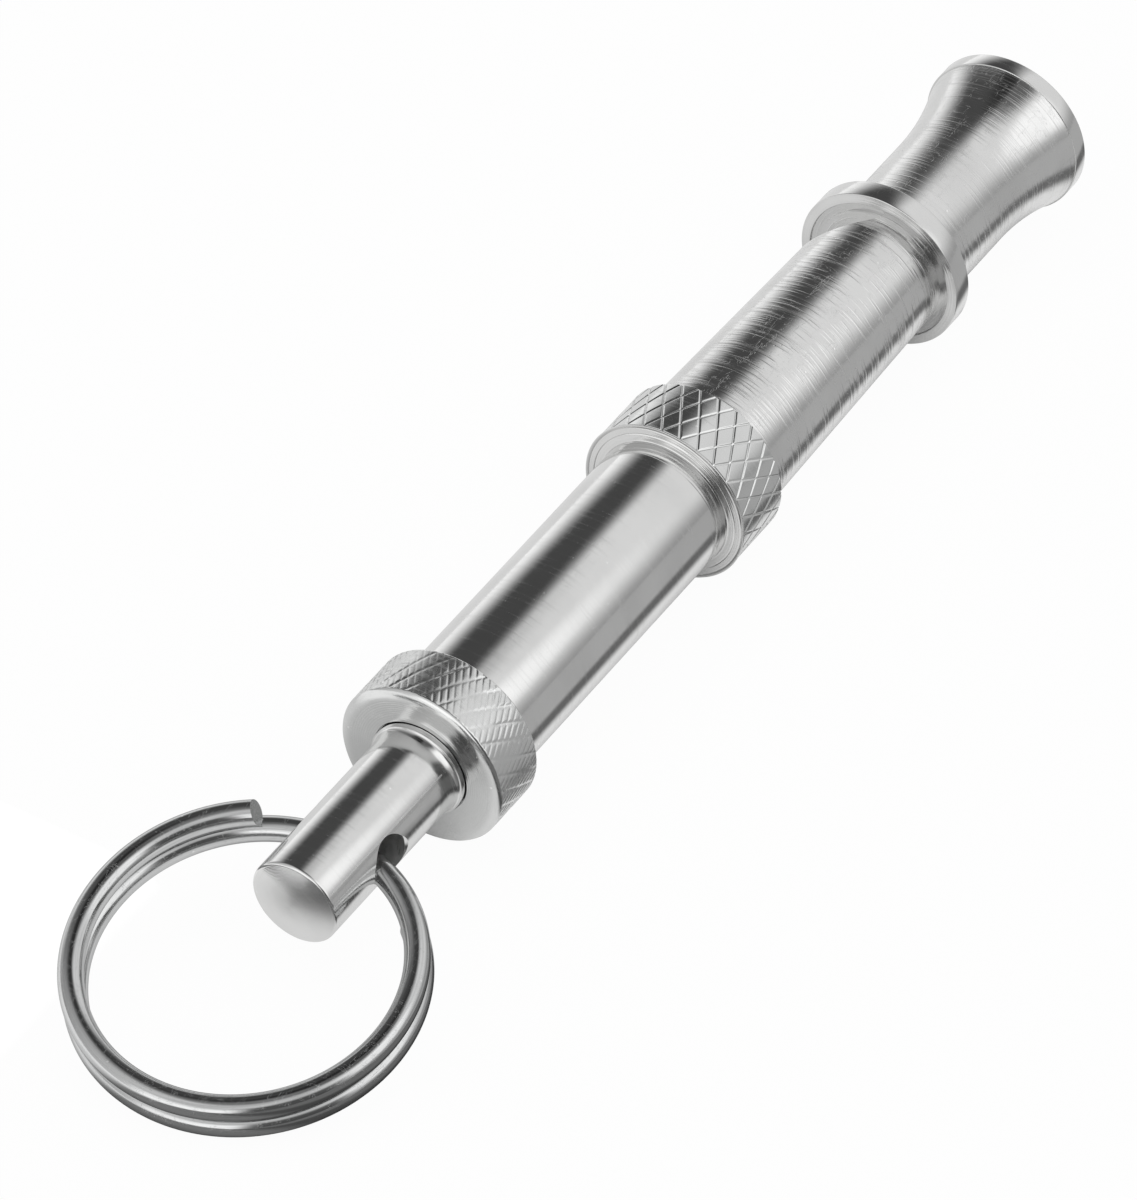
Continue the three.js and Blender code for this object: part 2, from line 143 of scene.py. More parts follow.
# Marks to the metre on metal and wire, and the grain of the rubber
METAL_MARKS = 220.0
WIRE_MARKS = 260.0
RUBBER_GRAIN = 900.0
# How much lighter or darker than the bare surface the marks look
SMUDGE_SHADE = 0.93
NICK_SHADE = 1.15
# Crossings of knurl lines are painted lighter still, a painted glint
CROSSING_GLINT = 1.1
STREAK_SHADE = 0.86
WIRE_NICK_SHADE = 1.2
GRAIN_SHADE = 1.8
# Roughness and depth that scratches add, and the finish of wire and rubber
SCRATCH_ROUGH = 0.12
SCRATCH_DEPTH = 0.4
STREAK_SCALE = (160.0, 7.0, 7.0)
WIRE_ROUGH = (0.1, 0.17)
WIRE_SCUFF = 0.1
WIRE_EDGE_TINT = (0.6, 0.6, 0.6, 1)
WIRE_RELIEF = 2.5e-6
RUBBER_ROUGH = (0.5, 0.75)
RUBBER_RELIEF = 1e-5
RUBBER_STRENGTH = 0.6
# Wear of the knurls: the nut's share, patches to the metre and the seed of their places
NUT_WEAR = 0.15
NUT_WEAR_SCALE = 900.0
NUT_SEED = 3.0
KNOB_WEAR_SCALE = 520.0
KNOB_SEED = 7.0


def ends(node):
    """The lowest and highest station of a CAD piece along the whistle's axis."""
    low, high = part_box(node)
    return low.x, high.x


def cad_radius(node):
    """The largest radius of a turned CAD piece."""
    low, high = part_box(node)
    return (high.z - low.z) / 2 / math.cos(math.pi / CAD_FLATS)


def joint(name):
    return next(j for j in frame["joints"] if j["name"] == name)


# The whistle's axis, and the stations along it where pieces meet
AXIS = (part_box("tuning_sleeve")[0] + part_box("tuning_sleeve")[1]) / 2
AXIS.x = 0
COLLAR, MOUTH = ends("mouthpiece")
BARREL_END, SPIGOT_END = ends("barrel")
BLOCK_BACK, BLOCK_FRONT = ends("windway_block")
BUSH_FRONT = ends("thread_bush")[1]
PISTON_BACK, PISTON_FRONT = ends("piston")
STEM_HEAD, STEM_TIP = ends("tuning_stem")
SLEEVE_FRONT = ends("tuning_sleeve")[1]
NUT_MOUTH = ends("lock_nut")[0]
LIP_FACE, GUIDE_END = ends("lock_nut_ring")
KNOB_FACE, KNOB_SPIGOT_END = ends("end_knob")
PIN_TIP, SHANK_END = ends("swivel_pin")
SWING = Vector(joint("ring_swing")["pos_m"])


def length(name, description, default):
    """A size that a user may change, in metres."""
    return FloatProperty(
        name=name, description=description, default=default, min=0, unit="LENGTH", precision=5
    )


def amount(name, description, default, low=0.0, high=1.0):
    """A plain number that a user may change."""
    return FloatProperty(name=name, description=description, default=default, min=low, max=high, precision=3)


def angle(name, description, degrees):
    return FloatProperty(name=name, description=description, default=math.radians(degrees), subtype="ANGLE")


def count(name, description, default):
    return IntProperty(name=name, description=description, default=default, min=1)


def colour(name, description, default):
    return FloatVectorProperty(
        name=name, description=description, default=default, size=4, min=0, max=1, subtype="COLOR"
    )


class MouthpieceSizes(bpy.types.PropertyGroup):
    """Sizes of the turned mouthpiece, and of the block in it."""

    rim_radius: length("Rim radius", "Outer radius of the mouth's rim", 5.25 * MM)
    rim_width: length("Rim width", "Width of the band at the mouth", 1.1 * MM)
    rim_step: length("Rim step", "Height of the band above the flare", 0.07 * MM)
    flare_length: length("Flare length", "Length of the concave flare", 6.2 * MM)
    neck_radius: length("Neck radius", "Radius of the neck behind the flare", 4.16 * MM)
    neck_fillet: length("Neck fillet", "Inner radius where the neck meets the collar", 0.3 * MM)
    collar_width: length("Collar width", "Width of the collar", 1.5 * MM)
    recess_radius: length("Recess radius", "Radius of the recess in the collar's face", 4.75 * MM)
    recess_depth: length("Recess depth", "Depth of the recess in the collar's face", 0.15 * MM)
    face_fall: length("Face fall", "How far the collar's face falls off to its edge", 0.08 * MM)
    socket_radius: length("Socket radius", "Radius of the socket that takes the barrel", 3.4 * MM)
    bore_radius: length("Bore radius", "Radius of the bore at the mouth", 3.3 * MM)
    bore_depth: length("Bore depth", "Depth of the wide bore", 6.5 * MM)
    edge: length("Edge", "Radius of the broken edges", 0.06 * MM)
    lip_round: length("Lip round", "Radius of the rim's edges, where lips rest", 0.09 * MM)
    block_gap: length("Block gap", "Gap around the windway block", 0.05 * MM)
    windway_height: length("Windway height", "Height of the slit that the block leaves", 0.7 * MM)


class BarrelSizes(bpy.types.PropertyGroup):
    """Sizes of the barrel and of its sound window."""

    end_radius: length("End radius", "Outer radius at the lock nut", 4.64 * MM)
    top_radius: length("Top radius", "Outer radius at the collar", 4.18 * MM)
    spigot_radius: length("Spigot radius", "Radius of the spigot in the collar", 3.2 * MM)
    bore_radius: length("Bore radius", "Radius of the sounding bore", 2.6 * MM)
    bush_radius: length("Bush radius", "Radius of the threaded bush", 3.3 * MM)
    shoulder_gap: length("Shoulder gap", "Gap between shoulder and recess floor", 0.004 * MM)
    edge: length("Edge", "Radius of the edge at the lock nut", 0.14 * MM)
    window_length: length("Window length", "Length of the slanting saw cut", 2.8 * MM)
    window_depth: length("Window depth", "Depth of the saw cut at the collar", 2.16 * MM)
    window_angle: angle("Window angle", "How far the window is turned up from the side", 30)


class TuningSizes(bpy.types.PropertyGroup):
    """Sizes of the sleeve, of the stem in it and of the piston."""

    sleeve_radius: length("Sleeve radius", "Outer radius of the sleeve", 4.29 * MM)
    sleeve_bore: length("Sleeve bore", "Inner radius of the sleeve", 3.45 * MM)
    sleeve_edge: length("Sleeve edge", "Radius of the sleeve's front edge", 0.2 * MM)
    stem_radius: length("Stem radius", "Outer radius of the stem's thread", 2.4 * MM)
    thread_pitch: length("Thread pitch", "Pitch of the stem's thread", 0.75 * MM)
    thread_depth: length("Thread depth", "Depth of the stem's thread", 0.38 * MM)
    tip_radius: length("Tip radius", "Radius of the stem's tip", 1.0 * MM)
    thread_gap: length("Thread gap", "Gap around the stem's thread", 0.05 * MM)
    mark_place: length("Mark place", "How far the turned mark lies from the lip", 1.0 * MM)
    mark_depth: length("Mark depth", "Depth of the turned mark", 0.02 * MM)
    fit: length("Fit", "Gap of the running fits", 0.2 * MM)
    seat: length("Seat", "Gap between seated faces", 0.15 * MM)
    seal_section: length("Seal section", "Radius of the seal's round section", 0.38 * MM)
    screw_head_radius: length("Screw head radius", "Radius of the piston screw's head", 1.5 * MM)
    screw_head_height: length("Screw head height", "Height of the piston screw's head", 0.6 * MM)
    screw_radius: length("Screw radius", "Radius of the piston screw's shank", 0.55 * MM)
    slot_width: length("Slot width", "Width of the screw's slot", 0.4 * MM)


class KnurlSizes(bpy.types.PropertyGroup):
    """Sizes of the lock nut, its lip and the end knob, and of their knurls."""

    radius: length("Radius", "Outer radius of nut and knob", 5.35 * MM)
    nut_web: length("Nut web", "Thickness of the nut's threaded web", 1.1 * MM)
    nut_edge: length("Nut edge", "Width of the nut's chamfers", 0.08 * MM)
    guide_bore: length("Guide bore", "Radius in which the sleeve slides", 4.293 * MM)
    guide_wall: length("Guide wall", "Wall of the guide in the nut's mouth", 0.4 * MM)
    lip_width: length("Lip width", "Thickness of the lip's flange", 0.2 * MM)
    lip_edge: length("Lip edge", "Width of the lip's flat edge", 0.1 * MM)
    lip_fall: length("Lip fall", "How far the lip's face falls off to its edge", 0.1 * MM)
    face_line: length("Face line", "Width of the fine bead at the sleeve", 0.06 * MM)
    knob_width: length("Knob width", "Width of the knob's knurled body", 3.95 * MM)
    knob_round: length("Knob round", "Depth of the knob's rounded end", 0.3 * MM)
    knob_fall: length("Knob fall", "Width over which the knob's end rounds off", 0.7 * MM)
    knob_front_round: length("Knob front round", "Radius of the knob's edge at the sleeve", 0.16 * MM)
    knob_spigot: length("Knob spigot", "Radius of the spigot in the sleeve", 3.35 * MM)
    knob_cavity: length("Knob cavity", "Radius of the hollow in the spigot", 2.85 * MM)
    hub_gap: length("Hub gap", "Parting line around the pin's hub", 0.07 * MM)
    slant: angle("Slant", "Angle of the knurl's lines to the axis", 30)
    nut_lines: count("Nut lines", "Lines of the nut's knurl each way", 27)
    nut_depth: length("Nut line depth", "Depth of the nut's lines", 0.075 * MM)
    nut_share: amount("Nut line share", "Half a line's width as a share of the pitch", 0.068)
    knob_lines: count("Knob lines", "Lines of the knob's knurl one way", 30)
    knob_cross_lines: count("Knob cross lines", "Lines of the knob's knurl the other way", 75)
    knob_depth: length("Knob line depth", "Depth of the knob's lines", 0.06 * MM)
    knob_share: amount("Knob line share", "Half a line's width as a share of the pitch", 0.17)
    wear: amount("Wear", "How far the knob's lines are worn away", 0.7)


class SwivelSizes(bpy.types.PropertyGroup):
    """Sizes of the swivel pin, of what keeps it in the knob and of the split ring."""

    pin_radius: length("Pin radius", "Radius of the pin", 2.78 * MM)
    crown: length("Crown", "Height of the pin's domed end", 0.42 * MM)
    tip_edge: length("Tip edge", "Radius of the edge of the domed end", 0.16 * MM)
    hub_radius: length("Hub radius", "Radius of the hub in the knob", 3.05 * MM)
    hub_depth: length("Hub depth", "Depth of the hub's seat in the knob", 0.7 * MM)
    hub_proud: length("Hub proud", "How far the hub stands out of the knob", 0.36 * MM)
    hub_step: length("Hub step", "Step from the hub to the fillet", 0.07 * MM)
    fillet_length: length("Fillet length", "Length of the concave fillet", 0.85 * MM)
    shank_radius: length("Shank radius", "Radius of the shank in the knob", 1.7 * MM)
    groove_radius: length("Groove radius", "Radius of the clip's groove", 1.25 * MM)
    hole_radius: length("Hole radius", "Radius of the cross hole", 1.55 * MM)
    countersink: length("Countersink", "Width of the broken edge of the cross hole", 0.14 * MM)
    washer_radius: length("Washer radius", "Outer radius of the washer", 2.65 * MM)
    clip_wall: length("Clip wall", "Wall of the open clip", 0.85 * MM)
    clip_mouth: angle("Clip mouth", "Opening of the clip", 75)
    wire_radius: length("Wire radius", "Radius of the ring's wire", 0.75 * MM)
    ring_radius: length("Ring radius", "Radius of the ring at the wire's middle", 9.6 * MM)
    ring_turns: amount("Ring turns each way", "Turns of wire on each side of the hole", 0.909, 0.5, 0.97)
    coil_gap: length("Coil gap", "Gap between the ring's two coils", 0.04 * MM)
    sway: angle("Sway", "How far the ring is swung aside", 6)
    bevel_length: length("Bevel length", "Length of the slant at the wire's ends", 0.5 * MM)
    ring_pull: length("Ring pull", "How far the ring is pulled to the hole's outer side", 0.35 * MM)
    ring_side: length("Ring side", "How far the ring is moved to the near side", 0.45 * MM)


class FinishColours(bpy.types.PropertyGroup):
    """Colours of the metals and of the seal."""

    turned: colour("Turned nickel", "Nickel plate over turning marks", (0.78, 0.78, 0.775, 1))
    polished: colour("Polished nickel", "Polished nickel plate", (0.77, 0.77, 0.765, 1))
    knurled: colour("Knurled nickel", "Nickel plate over a knurl", (0.75, 0.755, 0.75, 1))
    steel: colour("Spring steel", "Plated spring steel", (0.67, 0.675, 0.675, 1))
    brass: colour("Brass", "Turned brass", (0.72, 0.56, 0.3, 1))
    rubber: colour("Rubber", "Black seal rubber", (0.025, 0.025, 0.026, 1))


class StageSettings(bpy.types.PropertyGroup):
    """The camera's place, and the light of the studio."""

    azimuth: angle("Azimuth", "Where the camera stands around the object", -57.7)
    elevation: angle("Elevation", "How high the camera looks down", 43.2)
    focal: amount("Focal length", "Focal length in pixels of the image", 8800, 100, 50000)
    scale: amount("Scale", "Pixels to a millimetre at the anchor", 17.25, 1, 100)
    anchor: length("Anchor", "Station on the axis from which the view is placed", 5.87 * MM)
    anchor_right: length("Anchor right", "How far the anchor lies right of the view's middle", 5.154 * MM)
    anchor_up: length("Anchor up", "How far the anchor lies above the view's middle", 5.264 * MM)
    light: amount("Light", "Power of the overhead lamp in watts", 0.8, 0, 10)
    lamp_size: length("Lamp size", "Side of the overhead lamp", 0.5)
    lamp_height: length("Lamp height", "Height of the overhead lamp", 0.45)
    lamp_side: length("Lamp side", "How far the lamp stands behind the object", 0.08)
    floor_size: length("Floor size", "Side of the paper floor", 4)


def rounded(corners):
    """Profile points through (x, radius, edge) corners, with an arc where a corner has an edge radius."""
    points = []
    total = len(corners)
    for i, corner in enumerate(corners):
        here = Vector(corner[:2])
        if len(corner) < 3:
            points.append(here)
            continue
        before = (Vector(corners[i - 1][:2]) - here).normalized()
        after = (Vector(corners[(i + 1) % total][:2]) - here).normalized()
        half = before.angle(after) / 2
        centre = here + (before + after).normalized() * corner[2] / math.sin(half)
        reach = corner[2] / math.tan(half)
        start = (here + before * reach - centre).normalized()
        end = (here + after * reach - centre).normalized()
        for step in range(EDGE_STEPS + 1):
            points.append(centre + start.slerp(end, step / EDGE_STEPS) * corner[2])
    return points


def quarter(x_from, x_to, r_from, r_to, steps, level_first):
    """Points of a quarter ellipse that leaves its first or its second end level with the axis."""
    points = []
    for step in range(steps + 1):
        a = step / steps * TURN / 4
        along, rise = (math.sin(a), 1 - math.cos(a)) if level_first else (1 - math.cos(a), math.sin(a))
        points.append((x_from + (x_to - x_from) * along, r_from + (r_to - r_from) * rise))
    return points


def faced(x_from, x_to, r_from, r_to):
    """Points of a faced end, with the fine rings that the turning tool leaves."""
    total = WAVE_ROWS * math.ceil(abs(r_to - r_from) / FACING_STEP / WAVE_ROWS)
    points = []
    for k in range(total + 1):
        share = k / total
        wave = FACING * math.sin(k * TURN / WAVE_ROWS)
        points.append((x_from + (x_to - x_from) * share + wave, r_from + (r_to - r_from) * share))
    return points


def smooth(mesh):
    """Smooth shading with crisp edges."""
    mesh.shade_smooth()
    mesh.set_sharp_from_angle(angle=SHARP)


def piece(name, points, faces):
    """A new mesh object with its faces pointing outwards."""
    mesh = bpy.data.meshes.new(name)
    mesh.from_pydata([tuple(p) for p in points], [], faces)
    work = bmesh.new()
    work.from_mesh(mesh)
    bmesh.ops.recalc_face_normals(work, faces=work.faces)
    work.to_mesh(mesh)
    work.free()
    smooth(mesh)
    made = bpy.data.objects.new(name, mesh)
    bpy.context.scene.collection.objects.link(made)
    return made


def on_axis(x, radius, a):
    """The point at a station, a radius and an angle about the whistle's axis."""
    return Vector((x, AXIS.y + radius * math.cos(a), AXIS.z + radius * math.sin(a)))


def skin(rows, closed):
    """Faces between rows of vertex numbers, where a row of one repeated number is a pole."""
    faces = []
    pairs = list(zip(rows, rows[1:] + rows[:1] if closed else rows[1:]))
    for low, high in pairs:
        for k in range(len(low)):
            j = (k + 1) % len(low)
            face = list(dict.fromkeys((low[k], low[j], high[j], high[k])))
            if len(face) > 2:
                faces.append(face)
    return faces


def revolve(name, profile, segments=SEGMENTS, closed=True):
    """A piece turned about the whistle's axis from (x, radius) points."""
    points, rows = [], []
    for x, radius in profile:
        first = len(points)
        if radius < POLE:
            points.append(on_axis(x, 0, 0))
            rows.append([first] * segments)
            continue
        points += [on_axis(x, radius, TURN * k / segments) for k in range(segments)]
        rows.append(list(range(first, first + segments)))
    return piece(name, points, skin(rows, closed))


def lathe(name, corners, closed=True):
    """A piece turned about the whistle's axis from (x, radius, edge) corners."""
    return revolve(name, rounded(corners), closed=closed)


def loft(name, rings):
    """A closed piece through rings of points, with flat ends."""
    points = [p for ring in rings for p in ring]
    size = len(rings[0])
    rows = [list(range(i * size, (i + 1) * size)) for i in range(len(rings))]
    return piece(name, points, skin(rows, False) + [rows[0], rows[-1]])


def bake(made):
    """Turns the result of a piece's modifiers into its plain mesh."""
    graph = bpy.context.evaluated_depsgraph_get()
    mesh = bpy.data.meshes.new_from_object(made.evaluated_get(graph))
    made.modifiers.clear()
    rough = made.data
    made.data = mesh
    bpy.data.meshes.remove(rough)


def cut(made, tool):
    """Cuts the tool's shape out of a piece."""
    modifier = made.modifiers.new("Cut", "BOOLEAN")
    modifier.operation = "DIFFERENCE"
    modifier.solver = "EXACT"
    modifier.object = tool
    bake(made)
    bpy.data.objects.remove(tool)
    smooth(made.data)


def fit(made, body, slot, material, *nodes):
    """Gives a finished piece its material and its place on the frame."""
    made.data.materials.clear()
    made.data.materials.append(material)
    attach(made, body)
    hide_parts(*nodes)


def band(made, material, low, high, least):
    """Gives the faces between two stations, outside a radius, a second finish."""
    made.data.materials.append(material)
    for face in made.data.polygons:
        away = face.center - AXIS
        if low < away.x < high and math.hypot(away.y, away.z) > least:
            face.material_index = len(made.data.materials) - 1


def new_node(tree, kind, inputs=None, **settings):
    """A node with its settings made, and its inputs set to values or linked to sockets."""
    made = tree.nodes.new(kind)
    for name, value in settings.items():
        setattr(made, name, value)
    for key, value in (inputs or {}).items():
        if isinstance(value, bpy.types.NodeSocket):
            tree.links.new(value, made.inputs[key])
        else:
            made.inputs[key].default_value = value
    return made


def calc(tree, operation, a, b=0.0, clamp=False):
    """The result of a sum on sockets or numbers."""
    return new_node(tree, "ShaderNodeMath", {0: a, 1: b}, operation=operation, use_clamp=clamp).outputs[0]


def multiplied(tree, first, *others):
    """Sockets or numbers multiplied with each other."""
    for other in others:
        first = calc(tree, "MULTIPLY", first, other)
    return first


def summed(tree, first, *others):
    """Sockets or numbers added up."""
    for other in others:
        first = calc(tree, "ADD", first, other)
    return first


def remainder(tree, share):
    """What a share leaves of one."""
    return calc(tree, "SUBTRACT", 1.0, share)


def vector_calc(tree, operation, inputs, output="Vector"):
    """The result of a sum on vectors."""
    return new_node(tree, "ShaderNodeVectorMath", inputs, operation=operation).outputs[output]


def spread(tree, value, span, levels=(0.0, 1.0)):
    """A value eased from one span to another, and held at both ends."""
    inputs = {"Value": value}
    inputs["From Min"], inputs["From Max"] = span
    inputs["To Min"], inputs["To Max"] = levels
    return new_node(tree, "ShaderNodeMapRange", inputs, interpolation_type="SMOOTHSTEP").outputs["Result"]


def noise_at(tree, vector, scale, detail):
    """Plain noise, which keeps around a middle of 0.5."""
    inputs = {"Vector": vector, "Scale": scale, "Detail": detail}
    return new_node(tree, "ShaderNodeTexNoise", inputs).outputs[0]


def sockets(tree, inputs, outputs):
    """Makes a group's named inputs and outputs, and returns its two end nodes."""
    for way, listed in (("INPUT", inputs), ("OUTPUT", outputs)):
        for name, kind in listed.items():
            tree.interface.new_socket(name, in_out=way, socket_type="NodeSocket" + kind)
    return tree.nodes.new("NodeGroupInput"), tree.nodes.new("NodeGroupOutput")


def grooves_tree():
    """Geometry nodes that sink two families of helical lines into a turned piece."""
    tree = bpy.data.node_groups.new("Helical lines", "GeometryNodeTree")
    numbers = ("Lines", "Cross Lines", "Lead", "Depth", "Share", "Wear", "Wear Scale", "Seed")
    inputs = {"Geometry": "Geometry", "Origin": "Vector"}
    inputs.update(dict.fromkeys(numbers, "Float"), Material="Material")
    start, end = sockets(tree, inputs, {"Geometry": "Geometry"})
    given = start.outputs
    position = new_node(tree, "GeometryNodeInputPosition").outputs[0]
    place = vector_calc(tree, "SUBTRACT", {0: position, 1: given["Origin"]})
    xyz = new_node(tree, "ShaderNodeSeparateXYZ", {0: place}).outputs
    turn = calc(tree, "DIVIDE", calc(tree, "ARCTAN2", xyz["Z"], xyz["Y"]), TURN)
    advance = calc(tree, "DIVIDE", xyz["X"], given["Lead"])

    def family(lines, phase):
        """How deep a place lies in the lines of one family, from 0 to 1."""
        along = calc(tree, "FRACT", multiplied(tree, lines, phase))
        off = calc(tree, "ABSOLUTE", calc(tree, "SUBTRACT", along, 0.5))
        return calc(tree, "SUBTRACT", 1.0, calc(tree, "DIVIDE", off, given["Share"]), clamp=True)

    def noted(geometry, name, value):
        """The geometry with a value kept on its points."""
        inputs = {"Geometry": geometry, "Name": name, "Value": value}
        return new_node(tree, "GeometryNodeStoreNamedAttribute", inputs, data_type="FLOAT").outputs[0]

    one = family(given["Lines"], calc(tree, "SUBTRACT", turn, advance))
    other = family(given["Cross Lines"], summed(tree, turn, advance))
    inputs = {"Vector": place, "W": given["Seed"], "Scale": given["Wear Scale"], "Detail": 2.0}
    noise = new_node(tree, "ShaderNodeTexNoise", inputs, noise_dimensions="4D").outputs[0]
    worn = multiplied(tree, given["Wear"], spread(tree, noise, WORN_PATCHES))
    weight = new_node(tree, "GeometryNodeInputNamedAttribute", {"Name": "knurl"}, data_type="FLOAT")
    held = multiplied(tree, weight.outputs[0], remainder(tree, worn))
    groove = multiplied(tree, held, calc(tree, "MAXIMUM", one, other))
    crossing = multiplied(tree, held, calc(tree, "MINIMUM", one, other))
    radial = new_node(tree, "ShaderNodeCombineXYZ", {"Y": xyz["Y"], "Z": xyz["Z"]}).outputs[0]
    outward = vector_calc(tree, "NORMALIZE", {0: radial})
    rise = multiplied(tree, groove, given["Depth"], -1.0)
    offset = vector_calc(tree, "SCALE", {0: outward, "Scale": rise})
    marked = noted(noted(given["Geometry"], "groove", groove), "crossing", crossing)
    sunk = new_node(tree, "GeometryNodeSetPosition", {"Geometry": marked, "Offset": offset}).outputs[0]
    real = new_node(tree, "GeometryNodeRealizeInstances", {0: sunk}).outputs[0]
    inputs = {"Geometry": real, "Material": given["Material"]}
    dressed = new_node(tree, "GeometryNodeSetMaterial", inputs).outputs[0]
    tree.links.new(dressed, end.inputs[0])
    return tree


def engrave(made, weights, settings):
    """Sinks helical lines into a turned piece where its rows have weight."""
    tree = bpy.data.node_groups.get("Helical lines") or grooves_tree()
    attribute = made.data.attributes.new("knurl", "FLOAT", "POINT")
    attribute.data.foreach_set("value", weights)
    modifier = made.modifiers.new("Lines", "NODES")
    modifier.node_group = tree
    for item in tree.interface.items_tree:
        if item.in_out == "INPUT" and item.name in settings:
            modifier[item.identifier] = settings[item.name]
    bake(made)


def turning_group():
    """Rings and short arcs that a lathe leaves, on round and flat faces alike."""
    tree = bpy.data.node_groups.new("Turning marks", "ShaderNodeTree")
    inputs = {"Place": "Vector", "Density": "Float", "Breaks": "Float"}
    start, end = sockets(tree, inputs, {"Rings": "Float", "Arcs": "Float"})
    given = start.outputs
    xyz = new_node(tree, "ShaderNodeSeparateXYZ", {0: given["Place"]}).outputs
    radial = new_node(tree, "ShaderNodeCombineXYZ", {"Y": xyz["Y"], "Z": xyz["Z"]}).outputs[0]
    radius = vector_calc(tree, "LENGTH", {0: radial}, "Value")
    run = multiplied(tree, summed(tree, xyz["X"], radius), given["Density"])
    outward = vector_calc(tree, "NORMALIZE", {0: radial})
    around = vector_calc(tree, "SCALE", {0: outward, "Scale": given["Breaks"]})
    turned = new_node(tree, "ShaderNodeSeparateXYZ", {0: around}).outputs

    def marks(along, about):
        """Noise that runs round the axis, with a finer or coarser step along it and about it."""
        inputs = {"X": multiplied(tree, run, along)}
        for side in "YZ":
            inputs[side] = multiplied(tree, turned[side], about)
        return noise_at(tree, new_node(tree, "ShaderNodeCombineXYZ", inputs).outputs[0], 1.0, 1.0)

    tree.links.new(marks(1.0, 1.0), end.inputs["Rings"])
    tree.links.new(spread(tree, marks(ARC_STEP, ARC_BREAKS), ARCS), end.inputs["Arcs"])
    return tree


def handling_group():
    """Smudges, hairline scratches and small nicks from handling."""
    tree = bpy.data.node_groups.new("Handling marks", "ShaderNodeTree")
    outputs = {"Smudges": "Float", "Scratches": "Float", "Nicks": "Float"}
    start, end = sockets(tree, {"Place": "Vector", "Scale": "Float"}, outputs)
    place, scale = start.outputs["Place"], start.outputs["Scale"]

    def noise(vector, fineness, detail):
        return noise_at(tree, vector, multiplied(tree, scale, fineness), detail)

    def hairlines(turn, stretch):
        """Thin lines where stretched noise passes its middle, kept only in patches."""
        inputs = {"Vector": place, "Rotation": turn, "Scale": stretch}
        vector = new_node(tree, "ShaderNodeMapping", inputs).outputs[0]
        off = calc(tree, "ABSOLUTE", calc(tree, "SUBTRACT", noise(vector, HAIR_FINENESS, 1.0), 0.5))
        patches = spread(tree, noise(vector, HAIR_PATCH_FINENESS, 0.0), HAIR_PATCHES)
        return multiplied(tree, spread(tree, off, HAIRLINE, FADE), patches)

    scratches = calc(tree, "MAXIMUM", *[hairlines(turn, stretch) for turn, stretch in HAIR_LAYS])
    cells = {"Vector": place, "Scale": multiplied(tree, scale, NICK_FINENESS)}
    off = new_node(tree, "ShaderNodeTexVoronoi", cells).outputs["Distance"]
    patches = spread(tree, noise(place, NICK_PATCH_FINENESS, 0.0), NICK_PATCHES)
    nicks = multiplied(tree, spread(tree, off, NICK, FADE), patches)
    tree.links.new(noise(place, 1.0, 3.0), end.inputs["Smudges"])
    tree.links.new(scratches, end.inputs["Scratches"])
    tree.links.new(nicks, end.inputs["Nicks"])
    return tree


def group_node(tree, name, maker, inputs):
    """Places a shared effect in a material with its own values."""
    shared = bpy.data.node_groups.get(name) or maker()
    return new_node(tree, "ShaderNodeGroup", inputs, node_tree=shared).outputs


def mixed(tree, factor, a, b):
    """One colour over another."""
    return new_node(tree, "ShaderNodeMix", {0: factor, 6: a, 7: b}, data_type="RGBA").outputs[2]


def shade(base, times):
    """A darker or lighter colour of the same hue."""
    return (base[0] * times, base[1] * times, base[2] * times, 1.0)


def stored(tree, name, output="Fac"):
    """A value that the mesh keeps on its points."""
    return new_node(tree, "ShaderNodeAttribute", attribute_name=name).outputs[output]


def emboss(tree, surface, height, relief, strength=1.0):
    """Gives a surface its fine relief."""
    inputs = {"Height": height, "Strength": strength, "Distance": relief}
    tree.links.new(new_node(tree, "ShaderNodeBump", inputs).outputs[0], surface["Normal"])


def new_material(name):
    """An empty material with its shader, and the place on the surface counted from the whistle's axis."""
    material = bpy.data.materials.new(name)
    material.use_nodes = True
    tree = material.node_tree
    tree.nodes.clear()
    shader = new_node(tree, "ShaderNodeBsdfPrincipled")
    new_node(tree, "ShaderNodeOutputMaterial", {"Surface": shader.outputs[0]})
    where = new_node(tree, "ShaderNodeTexCoord").outputs["Object"]
    place = new_node(tree, "ShaderNodeMapping", {"Vector": where, "Location": -AXIS}).outputs[0]
    return material, tree, shader.inputs, place


